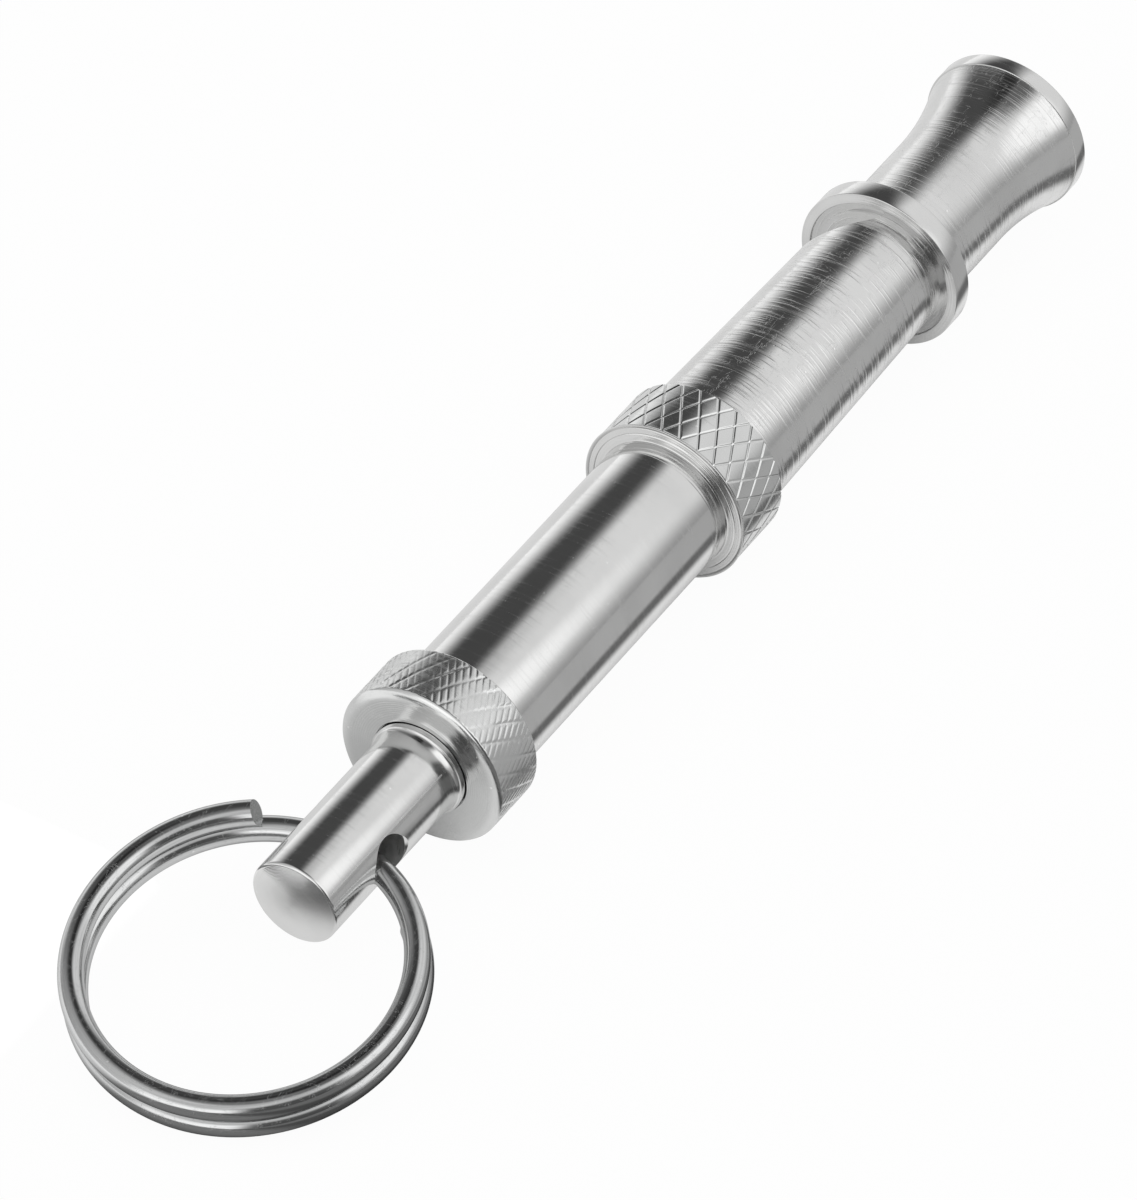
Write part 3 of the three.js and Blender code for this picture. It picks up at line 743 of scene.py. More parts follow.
def metal(name, base, rough, scuff, density, breaks, rings, arcs, relief, groove_shade=1.0, worn=0.0):
    """A plated or bare metal with its turning marks, smudges, scratches and nicks, and a painted tone in the
    grooves of sunk lines.
    """
    known = bpy.data.materials.get(name)
    if known:
        return known
    base = tuple(base)
    material, tree, surface, place = new_material(name)
    inputs = {"Place": place, "Density": density, "Breaks": breaks}
    turned = group_node(tree, "Turning marks", turning_group, inputs)
    handled = group_node(tree, "Handling marks", handling_group, {"Place": place, "Scale": METAL_MARKS})
    tint = mixed(tree, spread(tree, handled["Smudges"], SMUDGED), base, shade(base, SMUDGE_SHADE))
    # Sunk lines get a painted tone: lighter grooves and crossings are a painted highlight and glint on the
    # knurls, darker grooves are painted shade in the thread
    if groove_shade != 1:
        groove = spread(tree, stored(tree, "groove"), GROOVED)
        tint = mixed(tree, groove, tint, shade(base, groove_shade))
        crossing = spread(tree, stored(tree, "crossing"), CROSSED)
        tint = mixed(tree, crossing, tint, shade(base, groove_shade * CROSSING_GLINT))
    tint = mixed(tree, handled["Nicks"], tint, shade(base, NICK_SHADE))
    tree.links.new(tint, surface["Base Color"])
    surface["Metallic"].default_value = 1.0
    roughness = summed(
        tree,
        multiplied(tree, handled["Smudges"], rough),
        multiplied(tree, turned["Rings"], rough),
        multiplied(tree, turned["Arcs"], scuff),
        multiplied(tree, handled["Scratches"], SCRATCH_ROUGH),
    )
    if worn:
        roughness = summed(tree, roughness, multiplied(tree, stored(tree, "knurl"), worn))
    tree.links.new(roughness, surface["Roughness"])
    raised = summed(tree, multiplied(tree, turned["Rings"], rings), multiplied(tree, turned["Arcs"], arcs))
    sunk = summed(tree, multiplied(tree, handled["Scratches"], SCRATCH_DEPTH), handled["Nicks"])
    emboss(tree, surface, calc(tree, "SUBTRACT", raised, sunk), relief)
    return material


def turned_nickel(colours):
    marks = {"density": 6500.0, "breaks": 0.8, "rings": 0.9, "arcs": 1.0, "relief": 8.0e-6}
    return metal("nickel_turned", colours.turned, rough=0.13, scuff=0.16, **marks)


def brushed_nickel(colours):
    marks = {"density": 7600.0, "breaks": 0.6, "rings": 0.7, "arcs": 0.7, "relief": 6.0e-6}
    return metal("nickel_brushed", colours.turned, rough=0.16, scuff=0.1, **marks)


def polished_nickel(colours):
    marks = {"density": 5200.0, "breaks": 0.6, "rings": 0.35, "arcs": 0.5, "relief": 1.2e-6}
    return metal("nickel_polished", colours.polished, rough=0.11, scuff=0.08, **marks)


def knurled_nickel(colours):
    marks = {"density": 6500.0, "breaks": 0.8, "rings": 0.4, "arcs": 0.6, "relief": 1.5e-6}
    # The nut's knurl grooves are painted lighter, a painted highlight, and their crossings a painted glint
    return metal("nickel_knurled", colours.knurled, rough=0.13, scuff=0.1, groove_shade=1.3, **marks)


def worn_nickel(colours):
    marks = {"density": 5200.0, "breaks": 1.6, "rings": 0.3, "arcs": 0.4, "relief": 3.0e-6}
    # The knob's knurl grooves are painted lighter, a painted highlight, and their crossings a painted glint
    marks.update(groove_shade=1.25, worn=0.14)
    return metal("nickel_worn", colours.knurled, rough=0.13, scuff=0.1, **marks)


def drilled_nickel(colours):
    marks = {"density": 5200.0, "breaks": 1.2, "rings": 0.6, "arcs": 0.5, "relief": 3.0e-6}
    return metal("nickel_drilled", colours.turned, rough=0.4, scuff=0.1, **marks)


def spring_steel(colours):
    marks = {"density": 2600.0, "breaks": 2.5, "rings": 0.6, "arcs": 0.6, "relief": 1.5e-6}
    return metal("steel_plated", colours.steel, rough=0.16, scuff=0.1, **marks)


def turned_brass(colours):
    marks = {"density": 7000.0, "breaks": 0.8, "rings": 1.0, "arcs": 1.0, "relief": 2.0e-6}
    # The thread's grooves are painted darker, painted shade
    return metal("brass_turned", colours.brass, rough=0.18, scuff=0.12, groove_shade=0.6, **marks)


def drawn_wire(colours):
    """Plated spring wire with the fine lengthwise streaks that drawing leaves."""
    base = tuple(colours.steel)
    material, tree, surface, place = new_material("steel_wire")
    inputs = {"Vector": stored(tree, "wire", "Vector"), "Scale": STREAK_SCALE}
    streaks = noise_at(tree, new_node(tree, "ShaderNodeMapping", inputs).outputs[0], 1.0, 4.0)
    handled = group_node(tree, "Handling marks", handling_group, {"Place": place, "Scale": WIRE_MARKS})
    tint = mixed(tree, spread(tree, streaks, SMUDGED), base, shade(base, STREAK_SHADE))
    tint = mixed(tree, handled["Nicks"], tint, shade(base, WIRE_NICK_SHADE))
    tree.links.new(tint, surface["Base Color"])
    surface["Metallic"].default_value = 1.0
    surface["Specular Tint"].default_value = WIRE_EDGE_TINT
    scuffed = multiplied(tree, handled["Scratches"], WIRE_SCUFF)
    tree.links.new(summed(tree, spread(tree, streaks, STREAKED, WIRE_ROUGH), scuffed), surface["Roughness"])
    sunk = summed(tree, handled["Nicks"], handled["Scratches"])
    emboss(tree, surface, calc(tree, "SUBTRACT", streaks, sunk), WIRE_RELIEF)
    return material


def seal_rubber(colours):
    """Black rubber with a fine moulded grain."""
    base = tuple(colours.rubber)
    material, tree, surface, place = new_material("rubber_moulded")
    handled = group_node(tree, "Handling marks", handling_group, {"Place": place, "Scale": RUBBER_GRAIN})
    grain = handled["Smudges"]
    tree.links.new(mixed(tree, grain, base, shade(base, GRAIN_SHADE)), surface["Base Color"])
    tree.links.new(spread(tree, grain, GRAINED, RUBBER_ROUGH), surface["Roughness"])
    emboss(tree, surface, grain, RUBBER_RELIEF, RUBBER_STRENGTH)
    return material


def flare(sizes):
    """Points of the concave flare, from the neck to just below the rim's band."""
    start = MOUTH - sizes.rim_width - sizes.flare_length
    rise = sizes.rim_radius - sizes.rim_step - sizes.neck_radius
    arc = (sizes.flare_length**2 + rise**2) / (2 * rise)
    points = []
    for step in range(FLARE_STEPS + 1):
        run = sizes.flare_length * step / FLARE_STEPS
        points.append((start + run, sizes.neck_radius + arc - math.sqrt(arc**2 - run**2)))
    return points


class WHISTLE_OT_mouthpiece(bpy.types.Operator):
    """Turns the flared mouthpiece and sets the windway block in it"""

    bl_idname = "whistle.mouthpiece"
    bl_label = "Mouthpiece"

    def execute(self, context):
        sizes = context.scene.whistle_mouthpiece
        barrel = context.scene.whistle_barrel
        colours = context.scene.whistle_colours
        collar = cad_radius("mouthpiece")
        floor = COLLAR + sizes.recess_depth
        rim = COLLAR + sizes.face_fall
        back = COLLAR + sizes.collar_width
        deep = MOUTH - sizes.bore_depth
        shell = lathe(
            "mouthpiece_shell",
            [
                (floor, sizes.socket_radius),
                (floor, sizes.recess_radius, sizes.edge / 2),
                (COLLAR, sizes.recess_radius, sizes.edge / 2),
                *faced(COLLAR, rim, sizes.recess_radius + sizes.edge, collar - sizes.edge * 2),
                (rim, collar, sizes.edge),
                (back, collar, sizes.edge),
                (back, sizes.neck_radius, sizes.neck_fillet),
                *flare(sizes),
                (MOUTH - sizes.rim_width, sizes.rim_radius, sizes.rim_step / 2),
                (MOUTH, sizes.rim_radius, sizes.lip_round),
                (MOUTH, sizes.bore_radius, sizes.lip_round),
                (deep, sizes.bore_radius),
                (deep, barrel.bore_radius),
                (SPIGOT_END + SEAM, barrel.bore_radius),
                (SPIGOT_END + SEAM, sizes.socket_radius),
            ],
        )
        fit(shell, "whistle_body", "turned_nickel", brushed_nickel(colours), "mouthpiece")
        polished = polished_nickel(colours)
        band(shell, polished, COLLAR - SEAM, back + SEAM, sizes.neck_radius + sizes.neck_fillet)
        band(shell, polished, MOUTH - sizes.rim_width, MOUTH + SEAM, sizes.bore_radius)

        flat = barrel.bore_radius - sizes.windway_height
        radius = barrel.bore_radius - sizes.block_gap
        rings = []
        for x, scale in (
            (BLOCK_BACK, 1),
            (BLOCK_FRONT - sizes.edge * 2, 1),
            (BLOCK_FRONT, 1 - sizes.edge * 2 / radius),
        ):
            ring = []
            for k in range(SEGMENTS):
                a = TURN * k / SEGMENTS
                reach = min(radius, flat / max(math.cos(a), POLE)) if math.cos(a) > 0 else radius
                ring.append(on_axis(x, reach * scale, a + barrel.window_angle))
            rings.append(ring)
        plug = loft("windway_plug", rings)
        fit(plug, "whistle_body", "turned_nickel", turned_nickel(colours), "windway_block")
        return {"FINISHED"}


def prism(name, corners, half_width, turn):
    """A straight bar with (x, radius) corners, turned about the whistle's axis."""
    spin = Matrix.Rotation(turn, 4, "X")
    rings = []
    for side in (-half_width, half_width):
        rings.append([AXIS + spin @ Vector((x, radius, side)) for x, radius in corners])
    return loft(name, rings)


class WHISTLE_OT_barrel(bpy.types.Operator):
    """Turns the barrel, saws its sound window and sets the threaded bush in it"""

    bl_idname = "whistle.barrel"
    bl_label = "Barrel"

    def execute(self, context):
        sizes = context.scene.whistle_barrel
        mouthpiece = context.scene.whistle_mouthpiece
        tuning = context.scene.whistle_tuning
        colours = context.scene.whistle_colours
        shoulder = COLLAR + mouthpiece.recess_depth - sizes.shoulder_gap
        seat = BUSH_FRONT + SEAM
        counterbore = sizes.bush_radius + SEAM
        tube = lathe(
            "barrel_tube",
            [
                (BARREL_END, sizes.end_radius, sizes.edge),
                (shoulder, sizes.top_radius),
                (shoulder, sizes.spigot_radius),
                (SPIGOT_END, sizes.spigot_radius, sizes.edge),
                (SPIGOT_END, sizes.bore_radius),
                (seat, sizes.bore_radius),
                (seat, counterbore),
                (BARREL_END, counterbore),
            ],
        )
        reach = sizes.end_radius * 2
        deep = sizes.top_radius - sizes.window_depth
        saw = [
            (COLLAR, deep),
            (COLLAR, reach),
            (COLLAR - sizes.window_length, reach),
            (COLLAR - sizes.window_length, sizes.top_radius + sizes.edge / 2),
        ]
        cut(tube, prism("saw_cut", saw, sizes.end_radius, sizes.window_angle))
        fit(tube, "whistle_body", "turned_nickel", turned_nickel(colours), "barrel")

        hole = tuning.stem_radius + tuning.thread_gap
        bush = lathe(
            "bush_threaded",
            [
                (BARREL_END + SEAM, hole),
                (BARREL_END + SEAM, sizes.bush_radius, sizes.edge / 2),
                (BUSH_FRONT, sizes.bush_radius),
                (BUSH_FRONT, hole),
            ],
        )
        fit(bush, "whistle_body", "brass", turned_brass(colours), "thread_bush")
        return {"FINISHED"}


class WHISTLE_OT_piston(bpy.types.Operator):
    """Turns the piston, its seal and the screw that keeps it on the stem"""

    bl_idname = "whistle.piston"
    bl_label = "Piston"

    def execute(self, context):
        sizes = context.scene.whistle_tuning
        barrel = context.scene.whistle_barrel
        colours = context.scene.whistle_colours
        radius = barrel.bore_radius - sizes.fit / 2
        bore = sizes.tip_radius + sizes.fit / 2
        head_back = PISTON_FRONT - sizes.screw_head_height
        recess_floor = head_back - SEAM
        recess = sizes.screw_head_radius + sizes.fit / 2
        seal_x = sum(ends("piston_seal")) / 2
        seal_radius = barrel.bore_radius - sizes.seal_section - SEAM
        groove = seal_radius - sizes.seal_section
        groove_half = sizes.seal_section + SEAM
        edge = sizes.sleeve_edge
        plug = lathe(
            "piston_plug",
            [
                (PISTON_BACK, bore),
                (PISTON_BACK, radius, edge),
                (seal_x - groove_half, radius),
                (seal_x - groove_half, groove),
                (seal_x + groove_half, groove),
                (seal_x + groove_half, radius),
                (PISTON_FRONT, radius, edge),
                (PISTON_FRONT, recess),
                (recess_floor, recess),
                (recess_floor, bore),
            ],
        )
        fit(plug, "piston", "brass", turned_brass(colours), "piston")

        section = []
        for step in range(SEAL_STEPS):
            a = TURN * step / SEAL_STEPS
            x = seal_x + sizes.seal_section * math.cos(a)
            section.append((x, seal_radius + sizes.seal_section * math.sin(a)))
        fit(revolve("piston_o_ring", section), "piston", "seal_rubber", seal_rubber(colours), "piston_seal")

        shank_end = ends("piston_screw")[0]
        screw = lathe(
            "piston_slotted_screw",
            [
                (shank_end, 0),
                (shank_end, sizes.screw_radius, edge),
                (head_back, sizes.screw_radius),
                (head_back, sizes.screw_head_radius),
                (PISTON_FRONT, sizes.screw_head_radius, edge),
                (PISTON_FRONT, 0),
            ],
            closed=False,
        )
        slot_floor = PISTON_FRONT - sizes.screw_head_height / 2
        reach = sizes.screw_head_radius * 2
        slot = [
            (slot_floor, -reach),
            (slot_floor, reach),
            (PISTON_FRONT + reach, reach),
            (PISTON_FRONT + reach, -reach),
        ]
        cut(screw, prism("screw_slot", slot, sizes.slot_width / 2, 0))
        fit(screw, "tuning_sleeve", "spring_steel", spring_steel(colours), "piston_screw")
        return {"FINISHED"}


def rows_between(start, end, step):
    """Evenly spaced stations no further apart than a step, both ends included."""
    total = math.ceil(abs(end - start) / step)
    return [start + (end - start) * k / total for k in range(total + 1)]


def row_weights(profile, segments, low, high, least):
    """Full weight for the rows of a turned piece that lie in a band, and none elsewhere."""
    weights = []
    for x, radius in profile:
        weight = 1.0 if low <= x <= high and radius >= least else 0.0
        weights += [weight] * (1 if radius < POLE else segments)
    return weights


class WHISTLE_OT_tuning(bpy.types.Operator):
    """Turns the polished sleeve and cuts the thread of the stem in it"""

    bl_idname = "whistle.tuning"
    bl_label = "Tuning sleeve"

    def execute(self, context):
        sizes = context.scene.whistle_tuning
        knurl = context.scene.whistle_knurl
        colours = context.scene.whistle_colours
        outer = sizes.sleeve_radius
        back = KNOB_FACE + knurl.knob_width + SEAM
        mark = LIP_FACE - sizes.mark_place
        sleeve = lathe(
            "sleeve_polished",
            [
                (back, sizes.sleeve_bore),
                (back, outer, sizes.sleeve_edge / 2),
                (mark - sizes.mark_depth, outer),
                (mark, outer - sizes.mark_depth),
                (mark + sizes.mark_depth, outer),
                (SLEEVE_FRONT, outer, sizes.sleeve_edge),
                (SLEEVE_FRONT, sizes.sleeve_bore),
            ],
        )
        fit(sleeve, "tuning_sleeve", "polished_nickel", polished_nickel(colours), "tuning_sleeve")

        thread_end = PISTON_BACK - sizes.seat
        head = sizes.sleeve_bore - sizes.fit / 2
        hole = sizes.screw_radius + SEAM
        hole_end = ends("piston_screw")[0] - sizes.seat
        thread_step = sizes.thread_pitch / THREAD_ROWS
        thread = rows_between(SLEEVE_FRONT, thread_end - sizes.thread_depth, thread_step)
        profile = [
            (STEM_HEAD, 0),
            (STEM_HEAD, head - sizes.seat),
            (STEM_HEAD + sizes.seat, head),
            (SLEEVE_FRONT, head),
            *[(x, sizes.stem_radius) for x in thread],
            (thread_end, sizes.stem_radius - sizes.thread_depth),
            (thread_end, sizes.tip_radius),
            (STEM_TIP, sizes.tip_radius),
            (STEM_TIP, hole),
            (hole_end, hole),
            (hole_end, 0),
        ]
        stem = revolve("stem_threaded", profile, THREAD_SEGMENTS, closed=False)
        brass = turned_brass(colours)
        low, high = SLEEVE_FRONT + SEAM, thread_end - SEAM
        weights = row_weights(profile, THREAD_SEGMENTS, low, high, sizes.stem_radius - SEAM)
        settings = {
            "Origin": AXIS,
            "Lines": 1.0,
            "Cross Lines": 0.0,
            "Lead": sizes.thread_pitch,
            "Depth": sizes.thread_depth,
            "Share": THREAD_SHARE,
            "Wear": 0.0,
            "Wear Scale": 1.0,
            "Seed": 0.0,
            "Material": brass,
        }
        engrave(stem, weights, settings)
        fit(stem, "tuning_sleeve", "brass", brass, "tuning_stem")
        return {"FINISHED"}


def knurl_rows(start, end, radius, slant, segments):
    """Rows of a knurled band, spaced so that its lines run along the mesh, and the lead they need."""
    wanted = TURN * radius / math.tan(slant) / segments
    total = round((end - start) / wanted)
    step = (end - start) / total
    return [(start + step * k, radius) for k in range(total + 1)], step * segments


class WHISTLE_OT_lock_nut(bpy.types.Operator):
    """Turns and knurls the lock nut, and turns the lip with the guide ring in its mouth"""

    bl_idname = "whistle.lock_nut"
    bl_label = "Lock nut"

    def execute(self, context):
        sizes = context.scene.whistle_knurl
        tuning = context.scene.whistle_tuning
        colours = context.scene.whistle_colours
        front = BARREL_END - SEAM
        web = front - sizes.nut_web
        hole = tuning.stem_radius + tuning.thread_gap
        guide = sizes.guide_bore + sizes.guide_wall
        recess = guide + tuning.fit / 2
        recess_end = GUIDE_END + SEAM
        cavity = sizes.guide_bore
        flange = LIP_FACE + sizes.lip_width
        edge = sizes.nut_edge
        low = sizes.radius - edge
        rows, lead = knurl_rows(flange + edge, front - edge, sizes.radius, sizes.slant, NUT_SEGMENTS)
        step = lead / NUT_SEGMENTS
        chamfer = [k / CHAMFER_ROWS for k in range(CHAMFER_ROWS)]
        profile = [
            (recess_end, cavity),
            (recess_end, recess),
            (flange, recess),
            *[(flange + edge * k, low + edge * k) for k in chamfer],
            *rows,
            *[(front - edge * k, low + edge * k) for k in reversed(chamfer)],
            (front, hole),
            (web, hole),
            (web, cavity),
        ]
        nut = revolve("nut_knurled", profile, NUT_SEGMENTS)
        metal_used = knurled_nickel(colours)
        settings = {
            "Origin": AXIS + Vector((flange + edge - step / 2, 0, 0)),
            "Lines": float(sizes.nut_lines),
            "Cross Lines": float(sizes.nut_lines),
            "Lead": lead,
            "Depth": sizes.nut_depth,
            "Share": sizes.nut_share,
            "Wear": NUT_WEAR,
            "Wear Scale": NUT_WEAR_SCALE,
            "Seed": NUT_SEED,
            "Material": metal_used,
        }
        engrave(nut, row_weights(profile, NUT_SEGMENTS, flange, front, low - SEAM), settings)
        fit(nut, "lock_nut", "knurled_nickel", metal_used, "lock_nut")

        outer = cad_radius("lock_nut_ring")
        bead = sizes.face_line
        inner = sizes.guide_bore + bead * 2
        sunk = LIP_FACE + bead / 2
        fall = sizes.lip_fall / 2
        rim = LIP_FACE + sizes.lip_fall
        outside = outer - sizes.lip_edge - bead * 2
        middle = (inner + outside) / 2
        lip = lathe(
            "nut_lip",
            [
                (LIP_FACE, sizes.guide_bore),
                (LIP_FACE, sizes.guide_bore + bead, bead * BEAD_ROUND),
                (sunk, inner),
                *faced(sunk, sunk + fall, inner + bead, middle - bead),
                (sunk + fall + bead / 2, middle),
                *faced(sunk + fall, sunk + 2 * fall, middle + bead, outside - bead),
                (sunk + 2 * fall + bead / 3, outside),
                (rim + bead / 3, outside + bead),
                (rim, outer - sizes.lip_edge),
                (rim, outer, sizes.lip_edge / 3),
                (flange - SEAM, outer, bead / 3),
                (flange - SEAM, recess),
                (NUT_MOUTH, guide),
                (GUIDE_END, guide, bead),
                (GUIDE_END, sizes.guide_bore),
            ],
        )
        fit(lip, "lock_ring", "polished_nickel", polished_nickel(colours), "lock_nut_ring")
        return {"FINISHED"}


class WHISTLE_OT_end_knob(bpy.types.Operator):
    """Turns the end knob with its rounded edges and worn knurl"""

    bl_idname = "whistle.end_knob"
    bl_label = "End knob"

    def execute(self, context):
        sizes = context.scene.whistle_knurl
        swivel = context.scene.whistle_swivel
        tuning = context.scene.whistle_tuning
        colours = context.scene.whistle_colours
        front = KNOB_FACE + sizes.knob_width
        seat = KNOB_FACE + swivel.hub_depth
        web = ends("swivel_washer")[0] - SEAM
        hub = swivel.hub_radius + sizes.hub_gap
        shank = swivel.shank_radius + tuning.fit / 2
        near, far = sizes.knob_round, sizes.knob_front_round
        flat = sizes.radius - sizes.knob_fall
        rows, lead = knurl_rows(KNOB_FACE + near, front - far, sizes.radius, sizes.slant, KNOB_SEGMENTS)
        step = lead / KNOB_SEGMENTS
        profile = [
            (seat, shank),
            (seat, hub),
            (KNOB_FACE + SEAM, hub),
            (KNOB_FACE, hub + SEAM),
            *faced(KNOB_FACE, KNOB_FACE, hub + SEAM * 2, flat - SEAM),
            *quarter(KNOB_FACE, KNOB_FACE + near, flat, sizes.radius, ROUND_ROWS, False)[:-1],
            *rows,
            *quarter(front - far, front, sizes.radius, sizes.radius - far, ROUND_ROWS, True)[1:],
            (front, sizes.knob_spigot),
            (KNOB_SPIGOT_END, sizes.knob_spigot),
            (KNOB_SPIGOT_END, sizes.knob_cavity),
            (web, sizes.knob_cavity),
            (web, shank),
        ]
        knob = revolve("knob_knurled", profile, KNOB_SEGMENTS)
        metal_used = worn_nickel(colours)
        settings = {
            "Origin": AXIS + Vector((KNOB_FACE + near - step / 2, 0, 0)),
            "Lines": float(sizes.knob_lines),
            "Cross Lines": float(sizes.knob_cross_lines),
            "Lead": lead,
            "Depth": sizes.knob_depth,
            "Share": sizes.knob_share,
            "Wear": sizes.wear,
            "Wear Scale": KNOB_WEAR_SCALE,
            "Seed": KNOB_SEED,
            "Material": metal_used,
        }
        low, high = KNOB_FACE + near - SEAM, front - far + SEAM
        weights = row_weights(profile, KNOB_SEGMENTS, low, high, sizes.radius - SEAM)
        engrave(knob, weights, settings)
        fit(knob, "tuning_sleeve", "knurled_nickel", metal_used, "end_knob")
        return {"FINISHED"}


class WHISTLE_OT_swivel(bpy.types.Operator):
    """Turns and drills the swivel pin, and makes the washer and the clip that keep it in the knob"""

    bl_idname = "whistle.swivel"
    bl_label = "Swivel pin"

    def execute(self, context):
        sizes = context.scene.whistle_swivel
        colours = context.scene.whistle_colours
        clip_back, clip_front = ends("swivel_clip")
        hub_face = KNOB_FACE - sizes.hub_proud
        hub_seat = KNOB_FACE + sizes.hub_depth - SEAM
        dome = (sizes.pin_radius**2 + sizes.crown**2) / (2 * sizes.crown)
        profile = [(PIN_TIP, 0)]
        for step in range(1, DOME_STEPS):
            radius = (sizes.pin_radius - sizes.tip_edge) * step / DOME_STEPS
            wave = TIP_FACING * math.sin(step * TURN / WAVE_ROWS)
            profile.append((PIN_TIP + dome - math.sqrt(dome**2 - radius**2) + wave, radius))
        profile += [
            (PIN_TIP + sizes.crown, sizes.pin_radius, sizes.tip_edge),
            *quarter(
                hub_face - sizes.fillet_length,
                hub_face,
                sizes.pin_radius,
                sizes.hub_radius - sizes.hub_step,
                ROUND_ROWS,
                True,
            ),
            (hub_face, sizes.hub_radius, sizes.hub_step / 2),
            (hub_seat, sizes.hub_radius),
            (hub_seat, sizes.shank_radius),
            (clip_back - SEAM, sizes.shank_radius),
            (clip_back - SEAM, sizes.groove_radius),
            (clip_front + SEAM, sizes.groove_radius),
            (clip_front + SEAM, sizes.shank_radius),
            (SHANK_END, sizes.shank_radius, sizes.tip_edge),
            (SHANK_END, 0),
        ]
        pin = lathe("pin_swivel", profile, closed=False)
        bit = []
        for across, radius in (
            (-sizes.pin_radius * 2, sizes.hole_radius + sizes.pin_radius + sizes.countersink),
            (-sizes.pin_radius, sizes.hole_radius + sizes.countersink),
            (-sizes.pin_radius + sizes.countersink, sizes.hole_radius),
            (sizes.pin_radius - sizes.countersink, sizes.hole_radius),
            (sizes.pin_radius, sizes.hole_radius + sizes.countersink),
            (sizes.pin_radius * 2, sizes.hole_radius + sizes.pin_radius + sizes.countersink),
        ):
            ring = []
            for k in range(SEGMENTS // 2):
                a = TURN * k / (SEGMENTS // 2)
                ring.append(SWING + Vector((radius * math.cos(a), across, radius * math.sin(a))))
            bit.append(ring)
        cut(pin, loft("drill", bit))
        fit(pin, "swivel", "polished_nickel", polished_nickel(colours), "swivel_pin")
        pin.data.materials.append(drilled_nickel(colours))
        for face in pin.data.polygons:
            away = face.center - SWING
            if math.hypot(away.x, away.z) < sizes.hole_radius + SEAM:
                face.material_index = 1

        steel = spring_steel(colours)
        washer_back = ends("swivel_washer")[0]
        washer = lathe(
            "washer_flat",
            [
                (washer_back, sizes.shank_radius + SEAM),
                (washer_back, sizes.washer_radius, sizes.tip_edge),
                (clip_back - SEAM, sizes.washer_radius, sizes.tip_edge),
                (clip_back - SEAM, sizes.shank_radius + SEAM),
            ],
        )
        fit(washer, "swivel", "spring_steel", steel, "swivel_washer")

        inner = sizes.groove_radius + SEAM
        section = rounded(
            [
                (clip_back, inner),
                (clip_back, inner + sizes.clip_wall, sizes.tip_edge),
                (clip_front, inner + sizes.clip_wall, sizes.tip_edge),
                (clip_front, inner),
            ]
        )
        rings = []
        for step in range(CLIP_STEPS + 1):
            a = -TURN / 4 + sizes.clip_mouth / 2 + (TURN - sizes.clip_mouth) * step / CLIP_STEPS
            rings.append([on_axis(x, radius, a) for x, radius in section])
        fit(loft("clip_open", rings), "swivel", "spring_steel", steel, "swivel_clip")
        return {"FINISHED"}


class WHISTLE_OT_split_ring(bpy.types.Operator):
    """Winds the split ring from round wire with slanting ends"""

    bl_idname = "whistle.split_ring"
    bl_label = "Split ring"

    def execute(self, context):
        sizes = context.scene.whistle_swivel
        colours = context.scene.whistle_colours
        pitch = 2 * sizes.wire_radius + sizes.coil_gap
        reach = sizes.ring_radius * (1 + math.cos(sizes.sway))
        drop = SWING.z - sizes.wire_radius
        slope = math.asin(drop / math.hypot(reach, pitch / 2)) - math.atan2(pitch / 2, reach)
        tilt = Matrix.Rotation(-slope, 4, "Y")

        def wire(turn, b):
            """A point on the wire's surface, at a turn along it and an angle around it."""
            a = TURN * turn - sizes.sway
            radius = sizes.ring_radius + sizes.wire_radius * math.cos(b)
            x = radius * math.cos(a) - sizes.ring_radius * math.cos(sizes.sway) - sizes.ring_pull
            y = radius * math.sin(a) + sizes.ring_radius * math.sin(sizes.sway) - sizes.ring_side
            z = sizes.wire_radius * math.sin(b) - turn * pitch
            return SWING + tilt @ Vector((x, y, z))

        around = [TURN * k / WIRE_SIDES for k in range(WIRE_SIDES)]
        bevel = sizes.bevel_length / (TURN * sizes.ring_radius)
        last = sizes.ring_turns - bevel
        rings = [[wire(-sizes.ring_turns + bevel * (1 + math.sin(b)) / 2, b) for b in around]]
        for step in range(WIRE_STEPS + 1):
            turn = -last + 2 * last * step / WIRE_STEPS
            rings.append([wire(turn, b) for b in around])
        rings.append([wire(sizes.ring_turns - bevel * (1 - math.sin(b)) / 2, b) for b in around])
        made = loft("ring_split", rings)
        spacing = TURN * sizes.ring_radius * 2 * last / WIRE_STEPS
        grain = made.data.attributes.new("wire", "FLOAT_VECTOR", "POINT")
        places = []
        for k in range(len(rings)):
            for b in around:
                places += (k * spacing, math.cos(b), math.sin(b))
        grain.data.foreach_set("vector", places)
        fit(made, "split_ring", "spring_steel", drawn_wire(colours), "split_ring")
        return {"FINISHED"}


# Painted strips of light and shade on the floor, counted across and along from the whistle's axis, and their
# tone in the metal
NEAR_STRIP = (-13.2 * MM, -10.6 * MM)
NEAR_TONES = (0.44, 0.1)
NEAR_END = (-24 * MM, -6 * MM)
NEAR_END_SHARES = (0.3, 1.0)
UNDER_STRIP = (-8.8 * MM, -6.2 * MM)
UNDER_TONES = (0.0, 0.8)
RING_STRIP = (3 * MM, 8 * MM)
RING_END = (-42 * MM, -34 * MM)
RING_SHADES = (0.8, 0.0)
BEHIND_STRIP = (-2 * MM, 2 * MM)
BEHIND_SHADES = (0.0, 0.42)
BEHIND_END = (-31 * MM, -27 * MM)
BEYOND_STRIP = (5 * MM, 13 * MM)
BEYOND_TONES = (0.0, 0.25)
# Places closed in by the whistle get painted shade in the mirrored tone, up to this distance from it
CLOSED_IN_REACH = 5 * MM
CLOSED_IN = (0.0, 0.6)
CLOSED_IN_SAMPLES = 4
PAPER = (0.9, 0.9, 0.9, 1)
# Share of plain white paper in what the camera sees, and of the painted strips in what the metal mirrors
SEEN_SHARE = 0.96
MIRRORED_SHARE = 0.9


